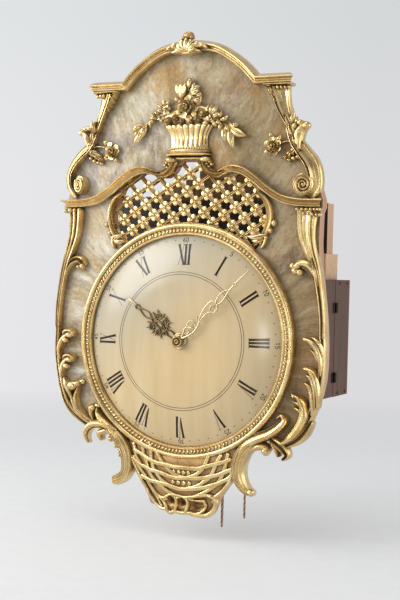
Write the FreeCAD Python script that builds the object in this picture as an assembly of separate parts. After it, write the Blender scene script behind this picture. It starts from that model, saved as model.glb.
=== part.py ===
import FreeCAD, Part
import math
import os

# Wall-hung flute clock. Millimetres, +Z up, the front faces -Y.
# The shapes are laid out about the middle of the dial, on the front face of
# the facade board, and moved at the end so that the origin is the middle of
# the hanging hole, on the wall plane.

V = FreeCAD.Vector
os.makedirs("parts", exist_ok=True)

# ---------------------------------------------------------------- dimensions
WALL_Y = 220.0            # wall plane behind the facade's front face
HANG_Z = 135.0            # hanging hole above the dial's middle
HANG_R = 5.0
BOARD_T = 22.0            # facade board
BEZEL_R, BEZEL_IN, BEZEL_H = 211.0, 188.0, 15.0
DIAL_R, DIAL_RIM, DIAL_APEX, DIAL_FLAT = 187.6, 4.1, 22.2, 95.0   # flat middle, then a rounded slope to the rim
CASE_X, CASE_TOP, CASE_BOT, CASE_BT = 230.0, 115.0, -97.0, 12.0
DOOR_HINGE_X, DOOR_HINGE_Y = 233.4, 140.0
MINUTE_LEN, HOUR_LEN = 184.0, 132.0
MINUTE_ANG, HOUR_ANG = 47.3, 304.4      # degrees clockwise from XII
CORD_R = 2.0

# arbors of the going train (x, z), axes along Y
C_ARB = (0.0, 0.0)
G_ARB = (40.0 * math.cos(math.radians(-15)), 40.0 * math.sin(math.radians(-15)))
T_ARB = (31.2 * math.cos(math.radians(120)), 31.2 * math.sin(math.radians(120)))
E_ARB = (T_ARB[0] + 28.25 * math.cos(math.radians(60)), T_ARB[1] + 28.25 * math.sin(math.radians(60)))
A_ARB = (E_ARB[0], E_ARB[1] + 24.0)
M_ARB = (24.0 * math.cos(math.radians(200)), 24.0 * math.sin(math.radians(200)))
# arbors of the organ train (y, z), axes along X
B_AX = (165.0, 60.0)
K_AX = (165.0 + 32.4 * math.cos(math.radians(-110)), 60.0 + 32.4 * math.sin(math.radians(-110)))
F_AX = (K_AX[0] + 20.0 * math.cos(math.radians(-105)), K_AX[1] + 20.0 * math.sin(math.radians(-105)))


# ------------------------------------------------------------------- helpers
def out(name, shape):
    s = shape.copy()
    s.translate(V(0, -WALL_Y, -HANG_Z))
    sol = [x for x in s.Solids if x.Volume > 1.0]
    if len(sol) == 1:
        s = sol[0]
    else:
        s = Part.makeCompound(sol)
    bad = [x for x in sol if not x.isValid()]
    print("%-22s solids %2d  volume %10.1f  faces %4d%s" % (name, len(sol), sum(x.Volume for x in sol), len(s.Faces), "  INVALID" if bad else ""))
    s.exportStep("parts/%s.step" % name)


def box(x0, x1, y0, y1, z0, z1):
    return Part.makeBox(x1 - x0, y1 - y0, z1 - z0, V(x0, y0, z0))


def prism(pts, y0, y1):
    """Polygon in (x, z), extruded along Y."""
    w = Part.makePolygon([V(x, y0, z) for x, z in pts] + [V(pts[0][0], y0, pts[0][1])])
    return Part.Face(w).extrude(V(0, y1 - y0, 0))


def prism_x(pts, x0, x1):
    """Polygon in (y, z), extruded along X."""
    w = Part.makePolygon([V(x0, y, z) for y, z in pts] + [V(x0, pts[0][0], pts[0][1])])
    return Part.Face(w).extrude(V(x1 - x0, 0, 0))


def ngon(c, r, n, turn=0.0):
    return [(c[0] + r * math.cos(turn + 2 * math.pi * i / n), c[1] + r * math.sin(turn + 2 * math.pi * i / n)) for i in range(n)]


def bore(c, r, n):
    """Polygon whose flats are r from the middle."""
    return ngon(c, r / math.cos(math.pi / n), n)


def rod(c, r, y0, y1):
    """Round bar along Y through (x, z) = c."""
    return Part.makeCylinder(r, y1 - y0, V(c[0], y0, c[1]), V(0, 1, 0))


def rod_x(c, r, x0, x1):
    """Round bar along X through (y, z) = c."""
    return Part.makeCylinder(r, x1 - x0, V(x0, c[0], c[1]), V(1, 0, 0))


def fuse(shapes):
    s = shapes[0]
    if len(shapes) > 1:
        s = s.fuse(shapes[1:])
    return s.removeSplitter()


def catmull(pts, n=4):
    p = [pts[0]] + list(pts) + [pts[-1]]
    res = []
    for i in range(1, len(p) - 2):
        for k in range(n):
            t = k / n
            res.append(tuple(0.5 * (2 * b + (c - a) * t + (2 * a - 5 * b + 4 * c - d) * t * t + (3 * b - a - 3 * c + d) * t ** 3)
                             for a, b, c, d in zip(p[i - 1], p[i], p[i + 1], p[i + 2])))
    res.append(tuple(pts[-1]))
    return res


def crosses(poly):
    n = len(poly)

    def o(a, b, c):
        return (b[0] - a[0]) * (c[1] - a[1]) - (b[1] - a[1]) * (c[0] - a[0])
    for i in range(n):
        a, b = poly[i], poly[(i + 1) % n]
        for j in range(i + 2, n):
            if i == 0 and j == n - 1:
                continue
            c, d = poly[j], poly[(j + 1) % n]
            if o(a, b, c) * o(a, b, d) < 0 and o(c, d, a) * o(c, d, b) < 0:
                return True
    return False


def stroke(pts, n=3):
    """Outline of a carved band: a middle line of (x, z, width)."""
    k = 1.0
    while True:
        line = catmull(pts, n)
        left, right = [], []
        for i, (x, z, w) in enumerate(line):
            a = line[max(i - 1, 0)]
            b = line[min(i + 1, len(line) - 1)]
            dx, dz = b[0] - a[0], b[1] - a[1]
            d = math.hypot(dx, dz)
            nx, nz = -dz / d, dx / d
            h = max(w * k, 2.0) / 2
            left.append((x + nx * h, z + nz * h))
            right.append((x - nx * h, z - nz * h))
        poly = left + right[::-1]
        if not crosses(poly):
            return poly
        k *= 0.85
        if k < 0.2:
            raise ValueError("stroke folds over: %r" % (pts,))


def carve(items):
    """Carved piece: bands, discs and polygons, each of its own height, on the board's face."""
    sh = []
    for kind, data, h in items:
        if kind == "band":
            poly = stroke(data)
        elif kind == "disc":
            poly = ngon(data[:2], data[2], 20)
        else:
            poly = data
        sh.append(prism(poly, -h, 0.0))
    return fuse(sh)


def mirror(pts):
    return [(-p[0],) + tuple(p[1:]) for p in pts]


def gear(z, m, turn, centre, add=0.70, ded=1.15, slack=0.10, pa=25.0):
    """Outline of an involute gear, with thin teeth for backlash."""
    r = m * z / 2
    rb = r * math.cos(math.radians(pa))
    ra, rf = r + add * m, r - ded * m
    half = (math.pi * m / 2 - slack) / (2 * r)
    inv = math.tan(math.radians(pa)) - math.radians(pa)

    def half_at(q):
        if q <= rb:
            return half + inv
        c = math.acos(rb / q)
        return half + inv - (math.tan(c) - c)
    lo = max(rf, rb)
    radii = [rf] + ([lo] if lo > rf + 1e-6 else []) + [(lo + ra) / 2, ra]
    pts = []
    for i in range(z):
        a0 = turn + 2 * math.pi * i / z
        for q in radii:
            pts.append((centre[0] + q * math.cos(a0 - half_at(q)), centre[1] + q * math.sin(a0 - half_at(q))))
        for q in radii[::-1]:
            pts.append((centre[0] + q * math.cos(a0 + half_at(q)), centre[1] + q * math.sin(a0 + half_at(q))))
    return pts


def meshed(turn1, z1, z2, c1, c2):
    """Turn of gear 2 that puts it in mesh with gear 1."""
    al = math.atan2(c2[1] - c1[1], c2[0] - c1[0])
    p1, p2 = 2 * math.pi / z1, 2 * math.pi / z2
    s = (al - turn1) / p1
    return al + math.pi - p2 * (0.5 - s)


def tube(points, r):
    """Round cord along straight runs joined by tangent arcs."""
    p = [V(*q) for q in points]
    edges, cur, length, radii = [], p[0], 0.0, []
    for i in range(1, len(p) - 1):
        a, b = p[i] - p[i - 1], p[i + 1] - p[i]
        la, lb = a.Length, b.Length
        ua, ub = a * (1 / la), b * (1 / lb)
        turn = math.acos(max(-1, min(1, ua.dot(ub))))
        t = 0.45 * min(la, lb)
        rad = t / math.tan(turn / 2)
        radii.append(rad)
        s, e = p[i] - ua * t, p[i] + ub * t
        bis = (ub - ua)
        bis.normalize()
        centre = p[i] + bis * math.hypot(rad, t)
        mid = centre - bis * rad
        edges.append(Part.LineSegment(cur, s).toShape())
        edges.append(Part.Arc(s, mid, e).toShape())
        length += (s - cur).Length + rad * turn
        cur = e
    edges.append(Part.LineSegment(cur, p[-1]).toShape())
    length += (p[-1] - cur).Length
    wire = Part.Wire(edges)
    prof = Part.Wire(Part.makeCircle(r, p[0], p[1] - p[0]))
    s = wire.makePipeShell([prof], True, False)
    print("cord length %.1f  least radius %.1f  volume ratio %.4f" % (length, min(radii), s.Volume / (math.pi * r * r * length)))
    print("   radii", [round(q, 1) for q in radii])
    return s


# ------------------------------------------------------------- facade outline
RIGHT = [(0, 517), (34, 513), (58, 506), (81, 493), (104, 476), (127, 453), (130, 450), (182, 450), (180, 430), (186, 410), (193, 390), (199, 368),
         (206, 350), (222, 335), (238, 314), (246, 290), (246, 268), (252, 250), (252, 238), (248, 228), (247, 180), (249, 140),
         (253, 108), (257, 77), (260, 50), (262, 22), (263, -4), (263, -31), (261, -58), (256, -82), (247, -104), (236, -126),
         (220, -147), (198, -163), (160, -166), (128, -182), (112, -206), (106, -226), (92, -246), (72, -274), (62, -296), (40, -303), (0, -303)]
LEFT = mirror(RIGHT[1:-1])[::-1]
OUTLINE = RIGHT + LEFT

# sound window: its foot follows the dial bezel, its head the cornice
WIN_R = [(128, 160), (146, 180), (152, 200), (156, 220), (154, 237), (147, 251), (141, 260), (139, 268), (133, 277), (126.9, 283.7), (104.7, 297.1), (87, 300.5), (73, 297.6), (62, 293.7), (55, 291),
         (47, 291.5), (39, 295.5), (31, 303), (26, 312), (24, 320), (0, 320)]
ARC = [(204.9 * math.sin(math.radians(a)), 204.9 * math.cos(math.radians(a))) for a in (-32, -26, -20, -14, -7, 0, 7, 14, 20, 26, 32)]
WINDOW = ARC + WIN_R + mirror(WIN_R[:-1])[::-1]

board = prism(OUTLINE, 0, BOARD_T).cut(prism(WINDOW, -1, BOARD_T + 1)).cut(prism(ngon((0, 0), 12, 24), -1, BOARD_T + 1))
out("facade_board", board)

# --------------------------------------------------------------- top moulding
TOP_LINE = [(0, 523), (35, 519.5), (58, 513), (81, 500), (104, 483), (129.5, 457)]


def band_poly(up, down, end):
    """Band along the arch and the shelves: up above the middle line, down below it."""
    def off(d):
        res = []
        n = len(TOP_LINE)
        for i, (x, z) in enumerate(TOP_LINE):
            a = TOP_LINE[max(i - 1, 0)]
            b = TOP_LINE[min(i + 1, n - 1)]
            dx, dz = b[0] - a[0], b[1] - a[1]
            if i == 0:
                dx, dz = 1, 0
            q = math.hypot(dx, dz)
            res.append((x - dz / q * d, z + dx / q * d))
        return res
    o = off(up)
    zt = 457 + up
    xs = o[-1][0] + (o[-1][1] - zt) * 1.0
    o = o[:-1] + [(xs, zt), (end, zt)]
    i = off(-down)
    zb = 457 - down
    xb = i[-1][0] + (i[-1][1] - zb) * 1.0
    i = i[:-1] + [(xb, zb), (end, zb)]
    # right half, then the left half back to the crown
    return o + i[::-1][:-1] + [(0, i[0][1])] + mirror(i[1:]) + mirror(o[1:])[::-1]


# the moulding overhangs the board's edge; behind it a narrow strip caps the edge
arch = fuse([prism(band_poly(9, -3, 201), -22, -11), prism(band_poly(9, -3, 195), -11, 0), prism(band_poly(3.2, 2.5, 197), -15, 0), prism(band_poly(0, 9, 192), -10, 0),
             prism(band_poly(1, 9, 186), 0, BOARD_T)])
arch = arch.cut(board)
out("arch_moulding", arch)

crest = fuse([prism([(-20, 512), (-31, 517), (-30, 527), (-20, 534), (-10, 541), (0, 545.5), (10, 540), (18, 533), (28, 529), (29, 516), (18, 511), (0, 507)], -31, -22),
              prism(ngon((0, 526), 11, 16), -35, -31)])
out("crest_shell", crest)

# ------------------------------------------------------------------- cornice
COR = [(256, 244, 14.4), (230, 244, 14.4), (206, 245.6, 14.4), (181, 251.6, 14.4), (154, 267, 14.4), (129, 286.5, 14.4), (106, 300.3, 14.4), (87, 304, 12.6), (72, 301, 10.8), (61, 297, 9)]
CSC = [(69, 300, 7), (55, 294.5, 10.8), (41, 298.5, 12.6), (30, 311, 12.6), (27.5, 324, 10.8)]
cornice = fuse([carve([("band", COR, 20), ("band", CSC, 16)]), carve([("band", mirror(COR), 20), ("band", mirror(CSC), 16)]), prism([(-31, 327.9), (31, 327.9), (29, 320.5), (-29, 320.5)], -9, 0)])
out("cornice_moulding", cornice)

# ---------------------------------------------------------- basket and flowers
basket = fuse([prism([(-44, 334), (44, 334), (42, 328), (-42, 328)], -24, 0),
               prism([(-38, 341), (-35, 356), (-37, 368), (-46, 379), (46, 379), (37, 368), (35, 356), (38, 341), (41, 334), (-41, 334)], -21, 0)])
basket = basket.cut(cornice)
out("flower_basket", basket)

FLOWERS = [(0, 411, 17, 30), (-49, 417, 12, 18), (-57, 398, 11, 18), (-39, 390, 12, 20), (-18, 392, 12, 22), (28, 404, 12, 20), (49, 408, 11, 18), (42, 385, 12, 20), (20, 392, 12, 22),
           (-14, 443, 12, 16), (1, 457, 10, 14), (13, 442, 11, 16), (18, 427, 11, 18), (-20, 425, 12, 18)]
garl = [(-50, 398, 12), (-71, 396, 14), (-86, 384, 14), (-102, 375, 12), (-107, 357, 7)]
garr = [(46, 402, 12), (62, 395, 14), (74, 383, 14), (88, 376, 13), (107, 363, 7)]
garr2 = [(72, 386, 10), (80, 366, 12), (90, 343, 6)]
bouquet = carve([("disc", f[:3], f[3]) for f in FLOWERS] + [("band", garl, 13), ("band", garr, 13), ("band", garr2, 12),
                ("poly", [(-40, 378), (-52, 395), (-20, 410), (-14, 443), (0, 474), (6, 462), (18, 440), (24, 408), (44, 400), (40, 378)], 12)])
bouquet = bouquet.cut(basket)
out("flower_bouquet", bouquet)

# ------------------------------------------------------------- upper brackets
UB_L = [("band", [(-172, 449, 34), (-175, 434, 25), (-181, 416, 19), (-189, 398, 13), (-194, 382, 8)], 16),
        ("band", [(-190, 370, 13), (-202, 350, 18), (-221, 333, 18), (-237, 314, 17), (-245, 293, 16), (-243, 274, 15), (-233, 261, 13)], 16),
        ("band", [(-204, 347, 9), (-210, 362, 12.6), (-217, 374, 12.6), (-223, 379, 9)], 14),
        ("band", [(-210, 334, 9), (-197, 337.6, 14.4), (-184, 332, 16), (-173, 322, 11)], 14),
        ("band", [(-191, 362, 12.6), (-194, 380, 10.8), (-198, 394, 4)], 12),
        ("band", [(-198, 347, 5.4), (-185, 348.3, 4.5), (-165, 346, 5.4)], 8),
        ("disc", (-154, 341, 12), 14), ("disc", (-222, 279, 19), 26), ("poly", [(-191, 450), (-143, 450), (-147, 440), (-187, 440)], 18)]
UB_R = [("band", [(166, 447, 40), (171, 430, 30), (178, 409, 23), (187, 390, 16), (195, 374, 11)], 16),
        ("band", [(193, 370, 14), (204, 348, 20), (219, 331, 23), (234, 312, 25), (242, 288, 23), (242, 268, 20), (234, 257, 16)], 16),
        ("band", [(208, 341, 10.8), (206, 358, 16), (211, 373, 16), (219, 377, 10.8)], 14),
        ("band", [(211, 332, 9), (200.7, 331, 14.4), (190, 324, 14.4), (184, 317, 7)], 14),
        ("band", [(196, 365, 12.6), (198, 381, 9), (200, 394, 4)], 12),
        ("band", [(200, 347.5, 5.4), (186, 348, 4.5), (170, 345, 5.4)], 8),
        ("disc", (161, 343, 14), 14), ("disc", (221.5, 278, 20), 26), ("poly", [(191, 450), (143, 450), (147, 440), (187, 440)], 18)]
top_keep = cornice.fuse(arch)
out("upper_bracket_left", carve(UB_L).cut(top_keep))
out("upper_bracket_right", carve(UB_R).cut(top_keep))

# ------------------------------------------------------- trellis and its frame
lattice = prism(WINDOW, 4, 12)
# slanting lattice: one crossing and the two steps from crossing to crossing
LAT_O, LAT_A, LAT_B = (-90.05, 243.49), (21.96, 13.84), (17.21, -18.75)
holes = []
for i in range(-9, 14):
    for j in range(-9, 14):
        cx = LAT_O[0] + (i + 0.5) * LAT_A[0] + (j + 0.5) * LAT_B[0]
        cz = LAT_O[1] + (i + 0.5) * LAT_A[1] + (j + 0.5) * LAT_B[1]
        if abs(cx) > 165 or not 150 < cz < 335:
            continue
        a, b = [q * 0.355 for q in LAT_A], [q * 0.355 for q in LAT_B]
        holes.append(prism([(cx + a[0] + b[0], cz + a[1] + b[1]), (cx + a[0] - b[0], cz + a[1] - b[1]), (cx - a[0] - b[0], cz - a[1] - b[1]), (cx - a[0] + b[0], cz - a[1] + b[1])], 3, 13))


def inset(poly, d):
    n = len(poly)
    area = sum(poly[i][0] * poly[(i + 1) % n][1] - poly[(i + 1) % n][0] * poly[i][1] for i in range(n)) / 2
    s = 1 if area > 0 else -1
    res = []
    for i in range(n):
        a, b, c = poly[i - 1], poly[i], poly[(i + 1) % n]
        u = (b[0] - a[0], b[1] - a[1])
        v = (c[0] - b[0], c[1] - b[1])
        lu, lv = math.hypot(*u), math.hypot(*v)
        n1 = (-u[1] / lu * s, u[0] / lu * s)
        n2 = (-v[1] / lv * s, v[0] / lv * s)
        k = 1 + n1[0] * n2[0] + n1[1] * n2[1]
        res.append((b[0] + d * (n1[0] + n2[0]) / k, b[1] + d * (n1[1] + n2[1]) / k))
    return res


field = prism(inset(WINDOW, 5.0), 2, 14)
lattice = lattice.cut(Part.makeCompound(holes).common(field))
out("sound_trellis", lattice)

bezel_block = Part.makeCylinder(BEZEL_R + 0.2, 60, V(0, -50, 0), V(0, 1, 0))
TF = [[(132, 265, 6), (148, 252.5, 10.8), (157, 236.5, 10.8), (158.4, 217.5, 10.8), (152.6, 197.5, 10.8), (143.5, 182, 9)],
      [(146, 166, 7.2), (137, 175, 10.8), (124, 182.6, 10.8), (111, 190, 7.2)]]
frame = Part.makeCompound([carve([("band", TF[0], 10), ("band", TF[1], 10)]), carve([("band", mirror(TF[0]), 10), ("band", mirror(TF[1]), 10)])])
frame = frame.cut(cornice).cut(bezel_block)
out("trellis_frame", frame)

# -------------------------------------------------------------- side pilasters
SP_R = [("poly", [(208, 236.5), (252, 236.5), (248, 224), (210, 224)], 18),
        ("band", [(229, 232, 34), (228, 210, 32), (230, 185, 28), (237, 161, 22), (247, 136, 17), (254, 106, 14), (259, 74, 12.6), (262, 46, 12), (262.5, 18, 11)], 14),
        ("band", [(249, 108, 7), (242, 129, 12.6), (229, 141, 16), (217, 141, 16), (210, 134, 13), (213, 125, 8)], 14)]
SP_L = [(k, mirror(d), h) for k, d, h in SP_R]
pil_r = carve(SP_R).cut(cornice)
pil_l = carve(SP_L).cut(cornice)
out("side_pilaster_left", pil_l)
out("side_pilaster_right", pil_r)

# ---------------------------------------------------------------- leaf scrolls
LS_L = [("band", [(-262.6, 24, 9), (-263.6, 6, 9.5), (-265, -14, 10), (-265, -33, 10), (-262, -56, 11), (-258, -78, 11), (-251, -104, 12.6), (-241, -128, 14.4), (-223, -147, 16), (-203, -159, 14.4)], 13),
        ("band", [(-257, -42, 7), (-257.5, -21, 10.8), (-249, -6, 14), (-237, -4, 14)], 16),
        ("band", [(-251.6, -77, 7), (-251, -60, 12.6), (-242.5, -49, 14), (-231, -48, 12.6)], 16),
        ("band", [(-211, -143, 9), (-225, -122, 14.4), (-232, -105, 16), (-225, -93, 12), (-212, -91.5, 10)], 16),
        ("band", [(-150, -166, 12.6), (-162, -154, 16), (-175, -141, 16), (-185, -132, 9), (-190, -150, 8), (-205, -155, 10)], 16)]
LS_R = [("band", [(262.6, 24, 11), (263, 10, 11), (264, -4, 11), (264.6, -31, 11), (262.7, -58, 11), (258.5, -82, 12.6), (250, -104, 14.4), (239, -126, 16), (223, -147, 17), (203, -164, 16)], 13),
        ("band", [(264, -33, 9), (258, -8, 14), (249, 5, 13), (237, 13, 9)], 16),
        ("band", [(257, -88, 9), (254, -66, 14.4), (247, -48, 14), (237, -37, 9)], 16),
        ("band", [(248, -108, 9), (245, -88, 14), (240, -72, 12), (233, -61, 7)], 16),
        ("band", [(203, -158, 11), (219, -141, 16), (229, -118, 18), (226, -99, 16), (216, -86, 12), (207, -82, 7)], 16)]
leaf_l = carve(LS_L).cut(pil_l).cut(bezel_block)
leaf_r = carve(LS_R).cut(pil_r).cut(bezel_block)
out("leaf_scrolls_left", leaf_l)
out("leaf_scrolls_right", leaf_r)

# -------------------------------------------------------------- bottom scrolls
BS_L = [("band", [(-123, -174, 9), (-142, -165, 17), (-163, -161, 17), (-182, -163, 15), (-193, -174, 13), (-194, -192, 5)], 18),
        ("band", [(-145, -172, 9), (-159, -176, 14), (-166, -184, 11), (-164, -190, 5)], 15),
        ("band", [(-150, -165, 9), (-138, -174, 18), (-122, -189, 21), (-111.5, -208, 21), (-108, -226, 19.8), (-111, -244, 19), (-122, -257, 18), (-133, -264, 14)], 18)]
BS_R = [("band", [(124, -182, 10.8), (141, -167, 19), (161, -158, 19), (179, -152, 19), (193, -140, 16), (199, -129, 10)], 18),
        ("band", [(166, -160, 9), (181, -167, 14.4), (193, -176, 15), (198, -190, 9)], 15),
        ("band", [(133, -181, 9), (146, -177, 14), (156, -181, 12)], 15),
        ("band", [(154, -159, 9), (136, -171, 19.8), (120.5, -186, 22), (112, -206, 22), (110.5, -224, 22), (116, -241, 19), (128, -255, 15)], 18)]
bs_l = carve(BS_L).cut(leaf_l).cut(bezel_block)
bs_r = carve(BS_R).cut(leaf_r).cut(bezel_block)
out("bottom_scroll_left", bs_l)
out("bottom_scroll_right", bs_r)

APRON = [(-106, -216), (-98, -230), (-90, -240), (-72, -264), (-57, -288), (-46, -303), (-24, -306.5), (6, -308), (31, -311), (55, -309), (68, -296), (72, -275), (90, -252), (99, -237), (107, -217), (100, -170), (-100, -170)]
APRON_IN = [(-84, -214), (-70, -240), (-48, -274), (-34, -290), (34, -292), (52, -274), (72, -240), (85, -214), (80, -180), (-80, -180)]
apron = fuse([prism(APRON, -14, 0), prism(APRON_IN, -20, -14)]).cut(bezel_block).cut(bs_l).cut(bs_r)
out("apron_basketwork", apron)

# --------------------------------------------------------------- dial and bezel
prof = Part.Face(Part.makePolygon([V(BEZEL_IN, 0, 0), V(BEZEL_R, 0, 0), V(BEZEL_R, -8, 0), V(208.5, -13, 0), (V(205, -BEZEL_H, 0)), V(201.5, -13, 0), V(200, -10, 0), V(193, -10.5, 0), V(191, -12, 0), V(BEZEL_IN, -11, 0), V(BEZEL_IN, 0, 0)]))
out("dial_bezel", prof.revolve(V(0, 0, 0), V(0, 1, 0), 360))

run, drop = DIAL_R - DIAL_FLAT, DIAL_APEX - DIAL_RIM
bend = (run**2 + drop**2) / (2 * drop)
half = bend - math.sqrt(bend**2 - (run / 2) ** 2)
slope = Part.Arc(V(DIAL_R, -DIAL_RIM, 0), V(DIAL_FLAT + run / 2, half - DIAL_APEX, 0), V(DIAL_FLAT, -DIAL_APEX, 0)).toShape()
sec = Part.Wire([Part.makeLine(V(9, 0, 0), V(DIAL_R, 0, 0)), Part.makeLine(V(DIAL_R, 0, 0), V(DIAL_R, -DIAL_RIM, 0)), slope, Part.makeLine(V(DIAL_FLAT, -DIAL_APEX, 0), V(9, -DIAL_APEX, 0)), Part.makeLine(V(9, -DIAL_APEX, 0), V(9, 0, 0))])
out("dial", Part.Face(sec).revolve(V(0, 0, 0), V(0, 1, 0), 360))


# ------------------------------------------------------------------------ hands
def ring(c, ro, ri, n=24):
    return (ngon(c, ro, n), ngon(c, ri, n))


def hand_solid(solid_polys, rings, ang, y0, y1, hub_cut):
    """Flat pierced hand drawn along +z, then turned clockwise by ang."""
    sh = [prism(p, y0, y1) for p in solid_polys]
    for o, i in rings:
        sh.append(prism(o, y0, y1).cut(prism(i, y0 - 1, y1 + 1)))
    s = fuse(sh)
    s.rotate(V(0, 0, 0), V(0, 1, 0), ang)
    return s.cut(prism(hub_cut, y0 - 1, y1 + 1))


MIN_Y0, MIN_Y1 = -32.5, -30.5
HOU_Y0, HOU_Y1 = -26.0, -24.0
minute = hand_solid([ngon((0, 0), 8, 20), stroke([(0, 7, 4), (2.5, 30, 4), (0, 52, 4)]), stroke([(0, 68, 3.5), (-1.5, 85, 3), (0, 101.5, 3.5)]),
                     stroke([(0, 116.5, 3), (0, 150, 2.4), (0, MINUTE_LEN, 2)]), ngon((0, 150), 3.2, 12)],
                    [ring((-5.5, 20), 7, 3.5), ring((5, 24), 5, 2.5), ring((0, 60), 10, 6.5), ring((0, 109), 9.6, 6.6)], MINUTE_ANG, MIN_Y0, MIN_Y1, ngon((0, 0), 2.5, 16))
out("minute_hand", minute)
hour = hand_solid([ngon((0, 0), 14, 24), stroke([(0, 12, 7), (0, 22, 5), (0, 30, 3.5)]), stroke([(0, 60, 3.5), (0, 66, 3), (0, 78, 3)]), stroke([(0, 88, 3), (0, 108, 4.5), (0, HOUR_LEN, 2)])],
                  [ring((0, 40), 11, 6.5), ring((-11, 46), 8, 4.5), ring((11, 46), 8, 4.5), ring((0, 56), 9, 5), ring((0, 84), 6.5, 3.6)], HOUR_ANG, HOU_Y0, HOU_Y1, ngon((0, 0), 5.4, 16))
out("hour_hand", hour)
nut = Part.makeCone(9.6, 8.2, 3.2, V(0, MIN_Y0, 0), V(0, -1, 0))
nut = nut.fuse([Part.makeCylinder(5.6, 1.4, V(0, MIN_Y0 - 3.2, 0), V(0, -1, 0)), Part.makeCylinder(2.8, 1.4, V(0, MIN_Y0 - 4.6, 0), V(0, -1, 0))]).cut(prism(ngon((0, 0), 2.5, 16), MIN_Y0 - 3.0, MIN_Y0 + 1))
out("hand_nut", nut)

# ------------------------------------------------------------------------- case
NAIL = [(165.0, 109.0), (205.0, 109.0), (165.0, -91.0), (205.0, -91.0)]
SCREW = [(-14.0, 96.0), (14.0, 96.0), (-14.0, 72.0), (14.0, 72.0)]
inx = CASE_X - CASE_BT
nails, nail_holes = [], []
for y, z in NAIL + [(60.0, 109.0), (110.0, 109.0), (60.0, -91.0), (110.0, -91.0)]:
    for s in ((-1, 1) if y > 150 else (-1,)):
        shank = prism_x(ngon((y, z), 1.0, 6), s * (inx - 14), s * CASE_X)
        nails.append(shank.fuse(prism_x(ngon((y, z), 2.6, 12), s * CASE_X, s * (CASE_X + 1.0))))
        nail_holes.append(shank)
plate_back = WALL_Y - 3.0
for x, z in SCREW:
    shank = prism(ngon((x, z), 1.8, 8), WALL_Y - 12.0, WALL_Y)
    nails.append(shank)
    nail_holes.append(shank)
hole_set = Part.makeCompound(nail_holes)
plate_poly = [(-25, 62), (25, 62), (25, 106), (18, 118), (14, 142), (8, 150), (-8, 150), (-14, 142), (-18, 118), (-25, 106)]
hanger = prism(plate_poly, plate_back, WALL_Y).cut(Part.makeCylinder(HANG_R, 10, V(0, plate_back - 3, HANG_Z), V(0, 1, 0))).cut(hole_set)
out("hanger_plate", hanger)
out("case_fasteners", Part.makeCompound(nails))
out("case_back", box(-inx, inx, WALL_Y - CASE_BT, WALL_Y, CASE_BOT, CASE_TOP).cut(prism(plate_poly, plate_back, WALL_Y + 1)).cut(hole_set))
out("case_left_side", box(-CASE_X, -inx, BOARD_T, WALL_Y, CASE_BOT, CASE_TOP).cut(hole_set))
out("case_right_side", box(inx, CASE_X, DOOR_HINGE_Y + 1.2, WALL_Y, CASE_BOT, CASE_TOP).cut(hole_set))
out("case_top", box(-inx, inx, BOARD_T, WALL_Y - CASE_BT, CASE_TOP - CASE_BT, CASE_TOP).cut(hole_set))
out("case_bottom", box(-inx, inx, BOARD_T, WALL_Y - CASE_BT, CASE_BOT, CASE_BOT + CASE_BT).cut(hole_set))
door_y0, door_y1 = BOARD_T + 1.0, DOOR_HINGE_Y - 1.2
out("side_door", box(inx + 0.4, CASE_X, door_y0, door_y1, CASE_BOT + 0.6, CASE_TOP - 0.6))

HINGES = [64.5, -61.5]
PIN_R, KNUCKLE_R = 1.5, 3.0
fixed, moving = [], []
for hz in HINGES:
    h = (DOOR_HINGE_X, DOOR_HINGE_Y)
    leaf_f = box(CASE_X, CASE_X + 1.4, DOOR_HINGE_Y + 1.4, DOOR_HINGE_Y + 10.5, hz - 9, hz + 9).cut(box(CASE_X - 1, CASE_X + 3, DOOR_HINGE_Y, DOOR_HINGE_Y + 4.5, hz - 0.1, hz + 10))
    lug_f = box(CASE_X, DOOR_HINGE_X, DOOR_HINGE_Y + 1.0, DOOR_HINGE_Y + 3.0, hz - 9, hz - 0.2)
    kn_f = Part.makeCylinder(KNUCKLE_R, 8.8, V(h[0], h[1], hz - 9))
    pin = Part.makeCylinder(PIN_R, 18.0, V(h[0], h[1], hz - 9))
    fixed.append(leaf_f.fuse([lug_f, kn_f, pin]).removeSplitter())
    leaf_m = box(CASE_X, CASE_X + 1.4, DOOR_HINGE_Y - 10.5, DOOR_HINGE_Y - 1.4, hz - 9, hz + 9).cut(box(CASE_X - 1, CASE_X + 3, DOOR_HINGE_Y - 4.5, DOOR_HINGE_Y, hz - 10, hz + 0.3))
    lug_m = box(CASE_X, DOOR_HINGE_X, DOOR_HINGE_Y - 3.0, DOOR_HINGE_Y - 1.4, hz + 0.3, hz + 9)
    kn_m = Part.makeCylinder(KNUCKLE_R, 8.7, V(h[0], h[1], hz + 0.3))
    moving.append(leaf_m.fuse([lug_m, kn_m]).cut(Part.makeCylinder(PIN_R + 0.06, 40, V(h[0], h[1], hz - 20))).removeSplitter())
out("door_hinges", Part.makeCompound(fixed))
out("door_hinge_leaves", Part.makeCompound(moving))

# -------------------------------------------------------------- movement plates
FP0, FP1, BP0, BP1 = 40.0, 46.0, 104.0, 110.0
PX0, PX1 = -56.0, 84.0
front = box(PX0, PX1, FP0, FP1, CASE_BOT + CASE_BT, CASE_TOP - CASE_BT)
back = box(PX0, PX1, BP0, BP1, CASE_BOT + CASE_BT, CASE_TOP - CASE_BT)
for c, r in ((C_ARB, 2.5), (G_ARB, 2.5), (T_ARB, 2.0), (E_ARB, 2.0), (A_ARB, 2.0)):
    hole = rod(c, r + 0.06, 0, 200)
    front = front.cut(hole)
    back = back.cut(hole)
stud = rod(M_ARB, 2.0, 25.0, FP0)
front = front.fuse(stud).removeSplitter()
out("front_plate", front)
out("back_plate", back)


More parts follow.
